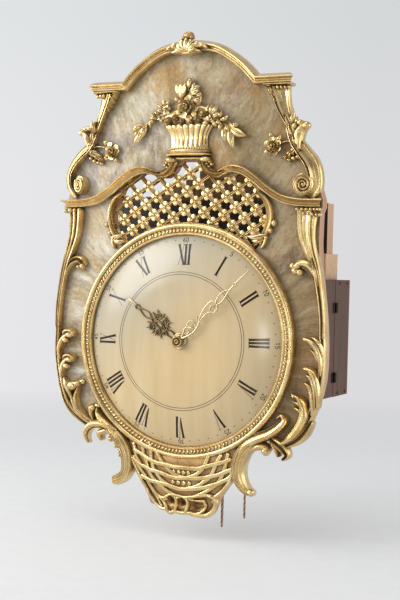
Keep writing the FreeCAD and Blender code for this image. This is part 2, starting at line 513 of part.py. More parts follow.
def drum(c, a0, a1, make, arbor):
    """Cord drum: two flanges and the wound turns between them."""
    sh = [make(ngon(c, 18, 24), a0, a0 + 2), make(ngon(c, 18, 24), a1 - 2, a1), make(ngon(c, 10.4, 24), a0 + 2, a1 - 2)]
    a = a0 + 2.2
    while a + 3.6 <= a1 - 2:
        sh.append(make(ngon(c, 12, 24), a, a + 3.4))
        a += 3.9
    s = fuse(sh)
    return s.cut(rod_x(c, arbor, a0 - 1, a1 + 1)) if arbor else s


t_c = 0.1
t_g = meshed(t_c, 10, 90, C_ARB, G_ARB)
great = fuse([rod(G_ARB, 2.5, FP0 + 0.5, BP1 - 0.5), drum(G_ARB, 49.0, 66.0, prism, None), prism(gear(90, 0.8, t_g, G_ARB), 70, 73)])
out("great_wheel", great)

t_cw = 0.0
t_tp = meshed(t_cw, 96, 8, C_ARB, T_ARB)
centre = fuse([prism(ngon(C_ARB, 2.5, 16), MIN_Y0 - 3.0, BP1 - 0.5), prism(gear(10, 0.8, t_c, C_ARB), 67, 76), prism(gear(96, 0.6, t_cw, C_ARB), 84, 87)])
out("centre_wheel", centre)

t_tw = 0.0
t_ep = meshed(t_tw, 105, 8, T_ARB, E_ARB)
third = fuse([rod(T_ARB, 2.0, FP0 + 0.5, 80.0), rod(T_ARB, 1.6, 80.0, 91.0), rod(T_ARB, 2.0, 91.0, BP1 - 0.5), prism(gear(8, 0.6, t_tp, T_ARB), 81, 90), prism(gear(105, 0.5, t_tw, T_ARB), 93, 96)])
out("third_wheel", third)

esc_pts = []
for i in range(30):
    a = 2 * math.pi * i / 30
    for q, d in ((14.0, -0.055), (14.4, 0.03), (17.0, 0.088), (17.0, 0.112)):
        esc_pts.append((E_ARB[0] + q * math.cos(a + d), E_ARB[1] + q * math.sin(a + d)))
escape = fuse([rod(E_ARB, 2.0, FP0 + 0.5, 89.0), rod(E_ARB, 1.3, 89.0, 100.0), rod(E_ARB, 2.0, 100.0, BP1 - 0.5), prism(gear(8, 0.5, t_ep, E_ARB), 90, 99), prism(esc_pts, 60, 62.5)])
out("escape_wheel", escape)

arms = [(-3.5, 3.5), (3.5, 3.5), (17.5, -6.0), (18.5, -14.0), (15.4, -13.0), (14.2, -7.5), (2.5, -3.5), (-2.5, -3.5), (-14.2, -7.5), (-15.4, -13.0), (-18.5, -14.0), (-17.5, -6.0)]
anchor = fuse([prism([(A_ARB[0] + x, A_ARB[1] + z) for x, z in arms], 60, 62.5), rod(A_ARB, 2.0, FP0 + 0.5, 118.0)])
out("anchor", anchor)
pend_len = 144.2
pend = fuse([prism(ngon(A_ARB, 5.0, 16), 112, 117), prism([(A_ARB[0] - 1.5, A_ARB[1]), (A_ARB[0] + 1.5, A_ARB[1]), (A_ARB[0] + 1.5, A_ARB[1] - pend_len), (A_ARB[0] - 1.5, A_ARB[1] - pend_len)], 113, 116),
             prism(ngon((A_ARB[0], A_ARB[1] - pend_len), 13.5, 32), 111.5, 119.5)]).cut(rod(A_ARB, 2.0, 100, 130))
out("pendulum", pend)

# motion work between the facade and the front plate
t_cp = 0.05
t_mw = meshed(t_cp, 20, 60, C_ARB, M_ARB)
cannon = fuse([prism(gear(20, 0.6, t_cp, C_ARB), 33, 37), prism(ngon(C_ARB, 3.7, 16), MIN_Y1, 37)]).cut(prism(ngon(C_ARB, 2.5, 16), -60, 60))
out("cannon_pinion", cannon)
t_mp = 0.2
t_hw = meshed(t_mp, 16, 64, M_ARB, C_ARB)
minute_wheel = fuse([prism(gear(60, 0.6, t_mw, M_ARB), 33.5, 36.5), prism(gear(16, 0.6, t_mp, M_ARB), 26, 34)]).cut(rod(M_ARB, 2.06, 0, 60))
out("minute_wheel", minute_wheel)
hour_wheel = fuse([prism(gear(64, 0.6, t_hw, C_ARB), 27.5, 30.5), prism(ngon(C_ARB, 5.4, 16), HOU_Y0, 30.5)]).cut(prism(bore(C_ARB, 3.77, 16), -60, 60))
out("hour_wheel", hour_wheel)

# ------------------------------------------------------------------------ organ
barrel = [prism_x(ngon(B_AX, 20, 36), -52, 32)]
KEY_X = [-40.0, -22.0, -4.0, 14.0]
for k, kx in enumerate(KEY_X):
    for n in range(7):
        a = math.radians(25 + 51.4 * n + 13 * k)
        c, s = math.cos(a), math.sin(a)
        pin = [(B_AX[0] + q * c - t * s, B_AX[1] + q * s + t * c) for q, t in ((19.0, -0.7), (21.5, -0.7), (21.5, 0.7), (19.0, 0.7))]
        barrel.append(prism_x(pin, kx - 0.9, kx + 0.9))
out("music_barrel", fuse(barrel + [rod_x(B_AX, 2.5, -107, 99)]))
t_b = 0.0
t_kp = meshed(t_b, 96, 12, B_AX, K_AX)
wheel_b = prism_x(gear(96, 0.6, t_b, B_AX), -64, -61).cut(rod_x(B_AX, 2.5, -70, -55))
out("barrel_wheel", Part.makeCompound([wheel_b, drum(B_AX, 48.0, 67.0, prism_x, 2.5)]))
t_kw = 0.0
t_fp = meshed(t_kw, 72, 8, K_AX, F_AX)
crank = fuse([rod_x(K_AX, 2.0, -107, -22.6), prism_x(gear(12, 0.6, t_kp, K_AX), -67, -58), prism_x(gear(72, 0.5, t_kw, K_AX), -74, -71),
              prism_x(ngon(K_AX, 13, 24), -94, -91), prism_x(ngon((K_AX[0] + 9, K_AX[1]), 1.6, 12), -97, -94)])
out("crank_wheel", crank)
fly = fuse([rod_x(F_AX, 1.3, -107, -22.6), prism_x(gear(8, 0.5, t_fp, F_AX), -76, -69), box(-56, -34, F_AX[0] - 14, F_AX[0] + 14, F_AX[1] - 0.8, F_AX[1] + 0.8), prism_x(ngon(F_AX, 3, 12), -58, -32)])
out("fly", fly)
foot = CASE_BOT + CASE_BT
bl = box(-108, -98, 134, 182, foot, 76)
bm = box(-30, -22, 136, 168, foot, 36)
br = box(90, 100, 150, 182, foot, 76)
for c, r in ((B_AX, 2.5), (K_AX, 2.0), (F_AX, 1.3)):
    hole = rod_x(c, r + 0.06, -200, 200)
    bl, bm, br = bl.cut(hole), bm.cut(hole), br.cut(hole)
out("organ_bearings", Part.makeCompound([bl, bm, br]))

KEY_P = (190.0, 87.6)
for k, kx in enumerate(KEY_X):
    key = box(kx - 4.5, kx + 4.5, 140, 196, 84.6, 90.6).fuse(box(kx - 4.5, kx + 4.5, 163.5, 166.5, 82.0, 84.6)).removeSplitter()
    out("key_%d" % (k + 1), key.cut(rod_x(KEY_P, 1.06, -200, 200)))
rail = fuse([box(-58, 32, 200, WALL_Y - CASE_BT, 80, 98), box(-58, -52, 184, 200, 82, 94), box(26, 32, 184, 200, 82, 94), rod_x(KEY_P, 1.0, -52, 26)])
out("key_rail", rail)

BX0, BX1 = -205.0, -118.0
low = box(BX0, BX1, 50, 193, foot, foot + 8).fuse(box(BX0, BX1, 187, 193, foot + 8, -61.2)).removeSplitter()
out("bellows_lower_board", low)
out("bellows_upper_board", box(BX0, BX1, 50, 193, -60, -52))
out("bellows_leather", box(BX0 + 2, BX1 - 2, 53, 186, foot + 8, -60))

chest = box(-228, 210, 140, 205, CASE_TOP, 162)
out("wind_chest", chest)
pipes = []
PIPE_TOP = [262, 266, 268, 272, 288, 300, 318, 322, 320, 314, 304, 292, 278, 266, 254]
for i, top in enumerate(PIPE_TOP):
    x1 = 208 - (14 - i) * 29.0
    x0 = x1 - 27.8
    p = box(x0, x1, 150, 182, 162, top).cut(box(x0 + 3.5, x1 - 3.5, 153.5, 178.5, 174, top + 1)).cut(box(x0 + 5, x1 - 5, 149, 154, 174, 183))
    pipes.append(p)
out("flute_pipes", Part.makeCompound(pipes))

# ------------------------------------------------------------------------ cords
# Each cord hangs free in one bight: it leaves the case bottom, falls, turns and rises to it again.
def bight(p1, p2, half):
    """Points of a bight between two places (x, y), from (distance along the way across, z) of its first half."""
    dx, dy = p2[0] - p1[0], p2[1] - p1[1]
    d = math.hypot(dx, dy)
    line = half + [(d - q, z) for q, z in half[::-1]]
    return [(round(p1[0] + dx * q / d, 2), round(p1[1] + dy * q / d, 2), z) for q, z in line]


GOING = bight((53, 57), (27, 120), [(0, CASE_BOT - 0.05), (0.8, -141), (2.2, -190), (4.8, -243), (9.0, -292), (16.0, -332.5), (26.5, -343)])
MUSIC = bight((58, 151), (36, 200), [(0, CASE_BOT - 0.05), (0.6, -142), (1.7, -192), (3.6, -245), (6.9, -295), (12.4, -333), (20.9, -341.5)])
out("going_cord", tube(GOING, CORD_R))
out("music_cord", tube(MUSIC, CORD_R))
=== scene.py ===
"""Looks of the flute clock: carved and gilt front, painted board, domed dial, hands, case, organ and cords."""

import math

import bpy
import numpy as np
from mathutils import Matrix, Vector


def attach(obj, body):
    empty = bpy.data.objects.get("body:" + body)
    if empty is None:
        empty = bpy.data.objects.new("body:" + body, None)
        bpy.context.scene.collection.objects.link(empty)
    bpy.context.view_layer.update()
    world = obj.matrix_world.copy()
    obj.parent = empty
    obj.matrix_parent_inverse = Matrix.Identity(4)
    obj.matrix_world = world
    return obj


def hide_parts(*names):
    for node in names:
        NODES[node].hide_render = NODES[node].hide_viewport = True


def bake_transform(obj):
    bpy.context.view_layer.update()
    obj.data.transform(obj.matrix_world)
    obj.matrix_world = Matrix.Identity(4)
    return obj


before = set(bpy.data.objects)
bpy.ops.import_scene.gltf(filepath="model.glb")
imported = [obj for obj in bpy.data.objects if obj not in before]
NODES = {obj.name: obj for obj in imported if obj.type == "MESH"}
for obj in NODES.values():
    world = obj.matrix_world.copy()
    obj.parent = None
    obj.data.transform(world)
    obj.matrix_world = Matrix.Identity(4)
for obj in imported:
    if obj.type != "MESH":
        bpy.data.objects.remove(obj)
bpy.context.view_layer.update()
PI = math.pi
rng = np.random.default_rng(11)


# ---------------------------------------------------------------- lengths
# The front is laid out in millimetres about the dial's centre: x to the right,
# y into the wall from the board's front face, z up.
def row(p):
    """Dial millimetres to the row frame in metres."""
    return (np.asarray(p, float) - np.array([0.0, 220.0, 135.0])) / 1000.0


def hermite(P, per=14, dim=2):
    """A smooth curve through the points P (rows), all columns carried along."""
    P = np.asarray(P, float)
    n = len(P)
    if n == 2:
        s = np.linspace(0, 1, per)[:, None]
        return P[:1] * (1 - s) + P[1:] * s
    d = np.linalg.norm(np.diff(P[:, :dim], axis=0), axis=1)
    d = np.maximum(d, 1e-6) ** 0.7
    D = np.diff(P, axis=0) / d[:, None]
    m = np.zeros_like(P)
    for i in range(1, n - 1):
        m[i] = (D[i] * d[i - 1] + D[i - 1] * d[i]) / (d[i] + d[i - 1])
    m[0] = 1.5 * D[0] - 0.5 * m[1]
    m[-1] = 1.5 * D[-1] - 0.5 * m[-2]
    out = []
    for i in range(n - 1):
        s = np.linspace(0, 1, per, endpoint=False)[:, None]
        s2, s3 = s * s, s * s * s
        out.append(
            (2 * s3 - 3 * s2 + 1) * P[i]
            + (s3 - 2 * s2 + s) * d[i] * m[i]
            + (-2 * s3 + 3 * s2) * P[i + 1]
            + (s3 - s2) * d[i] * m[i + 1]
        )
    out.append(P[-1:])
    return np.vstack(out)


def even(C, step, dim=2):
    """The same polyline with points at an even step."""
    L = np.r_[0, np.cumsum(np.linalg.norm(np.diff(C[:, :dim], axis=0), axis=1))]
    n = max(3, int(round(L[-1] / step)) + 1)
    s = np.linspace(0, L[-1], n)
    return np.stack([np.interp(s, L, C[:, k]) for k in range(C.shape[1])], 1)


def smooth(P, step=2.0, dim=2):
    return even(hermite(P, dim=dim), step, dim)


def mirror(pts):
    return [(-p[0], *p[1:]) for p in pts]


# ---------------------------------------------------------------- solids
class Solid:
    """Closed shells gathered into one piece."""

    def __init__(self):
        self.v, self.q, self.t, self.n = [], [], [], 0

    def add(self, V, quads=None, tris=None):
        V = np.asarray(V, float).reshape(-1, 3)
        q = np.zeros((0, 4), int) if quads is None else np.asarray(quads, int).reshape(-1, 4)
        t = np.zeros((0, 3), int) if tris is None else np.asarray(tris, int).reshape(-1, 3)
        W = V - V.mean(0)
        allt = np.vstack([q[:, [0, 1, 2]], q[:, [0, 2, 3]], t])
        vol = np.einsum("ij,ij->i", W[allt[:, 0]], np.cross(W[allt[:, 1]], W[allt[:, 2]])).sum()
        if vol < 0:
            q, t = q[:, ::-1], t[:, ::-1]
        self.v.append(V)
        self.q.append(q + self.n)
        self.t.append(t + self.n)
        self.n += len(V)

    def tube(self, R, closed=False):
        """R is (n, k, 3): n rings of k points, capped at both ends unless closed."""
        R = np.asarray(R, float)
        n, k = R.shape[:2]
        m = n if closed else n - 1
        a = np.arange(m)[:, None]
        b = (a + 1) % n
        j = np.arange(k)[None, :]
        j2 = (j + 1) % k
        q = np.stack([a * k + j, a * k + j2, b * k + j2, b * k + j], -1).reshape(-1, 4)
        V = R.reshape(-1, 3)
        t = None
        if not closed:
            V = np.vstack([V, R[0].mean(0), R[-1].mean(0)])
            j = np.arange(k)
            j2 = (j + 1) % k
            t = np.vstack(
                [
                    np.stack([np.full(k, n * k), j2, j], 1),
                    np.stack([np.full(k, n * k + 1), (n - 1) * k + j, (n - 1) * k + j2], 1),
                ]
            )
        self.add(V, q, t)

    def blob(self, c, A, nu=14, nv=9, cup=0.0, power=1.0):
        """An ellipsoid at c with the three half-axes in the rows of A, cupped towards its third axis."""
        A = np.asarray(A, float)
        th = np.linspace(0, PI, nv + 1)[1:-1]
        ph = np.linspace(0, 2 * PI, nu, endpoint=False)
        s, co = np.sin(th)[:, None], np.cos(th)[:, None]
        a = s * np.cos(ph)[None, :]
        b = s * np.sin(ph)[None, :]
        w = np.sign(co) * np.abs(co) ** power + 0 * a + cup * (a * a + b * b)
        V = np.asarray(c, float) + a[..., None] * A[0] + b[..., None] * A[1] + w[..., None] * A[2]
        k = nu
        n = len(th)
        top = np.asarray(c, float) + A[2]
        bot = np.asarray(c, float) - A[2]
        V = np.vstack([V.reshape(-1, 3), top, bot])
        i = np.arange(n - 1)[:, None]
        j = np.arange(k)[None, :]
        j2 = (j + 1) % k
        q = np.stack([i * k + j, i * k + j2, (i + 1) * k + j2, (i + 1) * k + j], -1).reshape(-1, 4)
        j = np.arange(k)
        j2 = (j + 1) % k
        t = np.vstack(
            [
                np.stack([np.full(k, n * k), j2, j], 1),
                np.stack([np.full(k, n * k + 1), (n - 1) * k + j, (n - 1) * k + j2], 1),
            ]
        )
        self.add(V, q, t)

    def lathe(self, prof, axis=(0, 0), n=160):
        """prof is a closed loop of (r, y) turned about the y axis through (x, z) = axis."""
        prof = np.asarray(prof, float)
        a = np.linspace(0, 2 * PI, n, endpoint=False)
        R = np.stack(
            [
                axis[0] + np.outer(np.cos(a), prof[:, 0]),
                np.outer(np.ones(n), prof[:, 1]),
                axis[1] + np.outer(np.sin(a), prof[:, 0]),
            ],
            -1,
        )
        self.tube(R, closed=True)

    def turned(self, prof, axis=(0, 0), n=64):
        """prof runs from the axis to the axis: a solid of revolution with no bore."""
        prof = np.asarray(prof, float)
        a = np.linspace(0, 2 * PI, n, endpoint=False)
        R = np.stack(
            [
                axis[0] + np.outer(prof[:, 0], np.cos(a)),
                np.outer(prof[:, 1], np.ones(n)),
                axis[1] + np.outer(prof[:, 0], np.sin(a)),
            ],
            -1,
        )
        self.tube(R)

    def build(self, name, mat, body, nodes=(), slot=None, sharp=38):
        V = row(np.vstack(self.v)).astype(np.float32)
        q, t = np.vstack(self.q), np.vstack(self.t)
        me = bpy.data.meshes.new(name)
        me.vertices.add(len(V))
        me.vertices.foreach_set("co", V.ravel())
        me.loops.add(q.size + t.size)
        me.loops.foreach_set("vertex_index", np.r_[q.ravel(), t.ravel()].astype(np.int32))
        me.polygons.add(len(q) + len(t))
        start = np.r_[np.arange(len(q)) * 4, q.size + np.arange(len(t)) * 3]
        me.polygons.foreach_set("loop_start", start.astype(np.int32))
        me.polygons.foreach_set("loop_total", np.r_[np.full(len(q), 4), np.full(len(t), 3)].astype(np.int32))
        me.update(calc_edges=True)
        me.validate()
        me.polygons.foreach_set("use_smooth", np.ones(len(me.polygons), bool))
        me.set_sharp_from_angle(angle=math.radians(sharp))
        me.materials.append(mat)
        ob = bpy.data.objects.new(name, me)
        bpy.context.scene.collection.objects.link(ob)
        if body:
            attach(ob, body)
        if nodes:
            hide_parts(*nodes)
        return ob


# ---------------------------------------------------------------- carved bands
def prof_of(f, n=17):
    u = np.linspace(-1, 1, n)
    v = f(u)
    return np.vstack([[-1.0, 0.0], np.stack([u, v], 1), [1.0, 0.0]])


ROUND = prof_of(lambda u: np.sqrt(np.maximum(0, 1 - (0.985 * u) ** 2)), 15)
CHANNEL = prof_of(
    lambda u: 0.50 + 0.42 * np.abs(u) ** 1.6 + 0.16 * np.exp(-(((np.abs(u) - 0.74) / 0.16) ** 2)) - 0.50 * np.maximum(0, np.abs(u) - 0.84) / 0.16
)
REED3 = prof_of(lambda u: (0.55 + 0.45 * np.abs(np.cos(1.5 * PI * u)) ** 0.8) * (1 - 0.30 * u * u), 31)
REED2 = prof_of(lambda u: (0.55 + 0.45 * np.abs(np.sin(PI * u)) ** 0.8) * np.sqrt(np.maximum(0.05, 1 - 0.9 * u * u)), 21)
RIB = prof_of(lambda u: 0.42 + 0.58 * np.exp(-((u / 0.30) ** 2)) + 0.22 * np.exp(-(((np.abs(u) - 0.82) / 0.13) ** 2)) - 0.25 * np.maximum(0, np.abs(u) - 0.88) / 0.12, 21)
FACET = prof_of(lambda u: np.where(u < -0.15, 0.55 + 0.45 * (u + 1) / 0.85, 1 - 0.62 * ((u + 0.15) / 1.15) ** 1.3), 17)


def acanthus(lobes, cut=0.32, vein=0.22, ribs=0.12):
    """Profile and edge functions of a carved leaf."""
    k = 21
    u = np.linspace(-1, 1, k)

    def prof(t):
        tt = t[:, None]
        uu = u[None, :]
        v = 0.30 + 0.70 * (1 - np.abs(uu) ** 2.0)
        v = v - vein * np.exp(-((uu / 0.12) ** 2)) + ribs * np.cos(2 * PI * (tt * lobes - 0.75 * np.abs(uu))) * np.minimum(1, np.abs(uu) * 2.2)
        V = np.stack([uu + 0 * tt, v], -1)
        z = np.zeros((len(t), 1, 2))
        a, b = z.copy(), z.copy()
        a[..., 0], b[..., 0] = -1, 1
        return np.concatenate([a, V, b], 1)

    def edge(t):
        f = (t * lobes) % 1.0
        e = 1 - cut * (1 - np.sin(PI * np.clip(f, 0, 1)) ** 0.8)
        return e, e

    return prof, edge


def band(sol, pts, h, prof=ROUND, y0=0.0, back=2.0, step=2.0, ends="rr", edge=None, sweep=0.0, lean=None, rise=None, taper=0.45, cant=0.0):
    """A carved strap along (x, z, width) points lying on the board, relief h, given section.

    cant tips the section about its middle line: it lies further back by cant for each mm to the right."""
    C = smooth([p[:3] for p in pts], step)
    n0 = len(C)
    t0 = np.linspace(0, 1, n0)
    H0 = np.interp(t0, np.linspace(0, 1, np.size(h)), np.atleast_1d(h))
    R0 = np.zeros(n0) if rise is None else np.interp(t0, np.linspace(0, 1, np.size(rise)), np.atleast_1d(rise))
    T = np.gradient(C[:, :2], axis=0)
    T /= np.linalg.norm(T, axis=1)[:, None] + 1e-12
    c, w, f, t, tan, H, Rr = C[:, :2], C[:, 2], np.ones(n0), t0, T, H0, R0
    k = 5
    a = np.linspace(0, PI / 2, k + 1)[1:]
    a[-1] = PI / 2 * 0.985
    if ends[0] == "r":
        o = -(w[0] / 2) * np.sin(a)[::-1]
        c = np.vstack([c[0] + o[:, None] * T[0], c])
        w = np.r_[np.full(k, w[0]), w]
        f = np.r_[np.cos(a)[::-1], f]
        t = np.r_[np.full(k, 0.0), t]
        tan = np.vstack([np.repeat(T[:1], k, 0), tan])
        H, Rr = np.r_[np.full(k, H[0]), H], np.r_[np.full(k, Rr[0]), Rr]
    if ends[1] == "r":
        o = (w[-1] / 2) * np.sin(a)
        c = np.vstack([c, c[-1] + o[:, None] * T[-1]])
        w = np.r_[w, np.full(k, w[-1])]
        f = np.r_[f, np.cos(a)]
        t = np.r_[t, np.full(k, 1.0)]
        tan = np.vstack([tan, np.repeat(T[-1:], k, 0)])
        H, Rr = np.r_[H, np.full(k, H[-1])], np.r_[Rr, np.full(k, Rr[-1])]
    N = np.stack([-tan[:, 1], tan[:, 0]], 1)
    P = prof(t) if callable(prof) else np.repeat(np.asarray(prof)[None], len(t), 0)
    u, v = P[..., 0], P[..., 1]
    eL, eR = (np.ones(len(t)), np.ones(len(t))) if edge is None else edge(t)
    e = np.where(u > 0, np.asarray(eR)[:, None], np.asarray(eL)[:, None])
    off = u * (w / 2 * f)[:, None] * e
    hs = taper + (1 - taper) * f
    y = y0 - np.where(v > 1e-6, Rr[:, None], 0) - (H * hs)[:, None] * v
    sh = sweep * (w / 2 * f)[:, None] * np.abs(u) ** 1.5
    X = c[:, :1] + N[:, :1] * off + tan[:, :1] * sh
    Z = c[:, 1:2] + N[:, 1:2] * off + tan[:, 1:2] * sh
    F = np.stack([X, y, Z], -1)
    B = F[:, [-1, F.shape[1] // 2, 0]].copy()
    B[..., 1] = y0 + back
    R = np.concatenate([F, B], 1)
    if cant:
        R[..., 1] += cant * (R[..., 0] - c[:, :1])
    if lean is not None:
        R[..., 1] += lean(R[..., 0], R[..., 2])
    sol.tube(R)


def leaf(sol, pts, h, lobes=4, cut=0.32, sweep=0.5, y0=0.0, rise=None, ends="rp", lean=None, back=2.0, vein=0.22, ribs=0.12, step=1.6, cant=0.0, taper=0.45):
    p, e = acanthus(lobes, cut, vein, ribs)
    band(sol, pts, h, p, y0=y0, back=back, step=step, ends=ends, edge=e, sweep=sweep, rise=rise, lean=lean, cant=cant, taper=taper)


def frame_of(n, up=(0, 0, 1)):
    """Two unit vectors square to n."""
    n = np.asarray(n, float)
    n = n / np.linalg.norm(n)
    a = np.cross(np.asarray(up, float), n)
    if np.linalg.norm(a) < 1e-3:
        a = np.cross((1.0, 0, 0), n)
    a /= np.linalg.norm(a)
    return a, np.cross(n, a), n


def rose(sol, x, z, r, h, y0=0.0, spin=0.0, rings=((7, 0.66, 24, 0.44, 0.40), (6, 0.42, 48, 0.36, 0.33), (4, 0.20, 68, 0.26, 0.26)), lean=0.0):
    """A carved flower: cupped petals in rings about a bud."""
    c = np.array([x, y0 - h * 0.35, z])
    sol.blob(np.array([x, y0, z]), [[r * 0.72, 0, 0], [0, 0, r * 0.72], [0, -h * 0.62, 0]], 20, 10)
    for k, (n, rad, tilt, wa, wb) in enumerate(rings):
        for i in range(n):
            a = spin + 2 * PI * (i + 0.5 * (k % 2)) / n + rng.normal(0, 0.14)
            d = np.array([math.cos(a), 0, math.sin(a)])
            tt = math.radians(tilt) + rng.normal(0, 0.20)
            nrm = np.array([0, -1.0, 0]) * math.cos(tt) - d * math.sin(tt) * 1.0
            tan = np.array([-math.sin(a), 0, math.cos(a)])
            rad_v = np.cross(nrm, tan)
            p = np.array([x, y0 - h * (0.42 + 0.20 * k), z]) + d * r * rad * (1 + rng.normal(0, 0.12))
            sol.blob(p, [tan * r * wa, rad_v * r * wb, nrm * r * 0.10], 12, 7, cup=1.3)
    sol.blob(np.array([x, y0 - h * 0.86, z]), [[r * 0.17, 0, 0], [0, 0, r * 0.17], [0, -h * 0.16, 0]], 10, 6)


def daisy(sol, x, z, r, h, y0=0.0, n=6, spin=0.0):
    """A small open flower with a raised eye."""
    for i in range(n):
        a = spin + 2 * PI * i / n
        d = np.array([math.cos(a), 0, math.sin(a)])
        tan = np.array([-math.sin(a), 0, math.cos(a)])
        sol.blob(np.array([x, y0 - h * 0.5, z]) + d * r * 0.58, [tan * r * 0.34, d * r * 0.42, np.array([0, -h * 0.34, 0])], 12, 7, cup=-0.25)
    sol.blob(np.array([x, y0 - h * 0.62, z]), [[r * 0.26, 0, 0], [0, 0, r * 0.26], [0, -h * 0.42, 0]], 12, 7)
    sol.blob(np.array([x, y0 - h * 0.15, z]), [[r * 0.6, 0, 0], [0, 0, r * 0.6], [0, -h * 0.35, 0]], 14, 7)


def blade(sol, base, tip, width, h=4.0, bow=0.0, curl=0.0, y0=0.0, notch=0, thick=0.32):
    """A single pointed leaf from base to tip (x, y, z), with a groove along its middle."""
    base, tip = np.asarray(base, float), np.asarray(tip, float)
    n = 15
    t = np.linspace(0, 1, n)
    d = tip - base
    L = np.linalg.norm(d)
    T = d / L
    fwd = np.array([0, -1.0, 0]) - T * (-T[1])
    fwd /= np.linalg.norm(fwd)
    side = np.cross(T, fwd)
    c = base + np.outer(t, d) + np.outer(4 * t * (1 - t) * bow, side) + np.outer(4 * t * (1 - t) * h * 0.25 + curl * t * t, fwd)
    w = width / 2 * (np.sin(PI * np.clip(t * 0.93 + 0.05, 0, 1)) ** 0.75)
    if notch:
        w = w * (1 - 0.22 * (1 - np.abs(np.sin(PI * notch * t))))
    u = np.array([-1, -0.75, -0.45, -0.14, 0, 0.14, 0.45, 0.75, 1, 0.6, 0, -0.6])
    v = np.array([0.0, 0.55, 0.90, 0.95, 0.62, 0.95, 0.90, 0.55, 0.0, -0.45, -0.6, -0.45])
    hh = h * (0.25 + 0.75 * np.sin(PI * np.clip(t, 0.02, 0.98)))
    R = c[:, None, :] + (w[:, None] * u)[..., None] * side + (hh[:, None] * thick * 2 * v)[..., None] * fwd
    sol.tube(R)


def spiral(cx, cz, r0, r1, turns, a0, sense=1, n=90, w0=8.0, w1=3.5):
    """Points (x, z, width) winding from radius r0 at angle a0 into r1."""
    t = np.linspace(0, 1, n)
    a = a0 + sense * 2 * PI * turns * t
    r = r0 + (r1 - r0) * t**0.85
    return np.stack([cx + r * np.cos(a), cz + r * np.sin(a), w0 + (w1 - w0) * t], 1)


def inside(poly, x, z):
    """Whether points lie inside a polygon."""
    poly = np.asarray(poly, float)
    x, z = np.atleast_1d(np.asarray(x, float)), np.atleast_1d(np.asarray(z, float))
    c = np.zeros(len(x), bool)
    j = len(poly) - 1
    for i in range(len(poly)):
        xi, zi = poly[i]
        xj, zj = poly[j]
        hit = ((zi > z) != (zj > z)) & (x < (xj - xi) * (z - zi) / (zj - zi + 1e-12) + xi)
        c ^= hit
        j = i
    return c


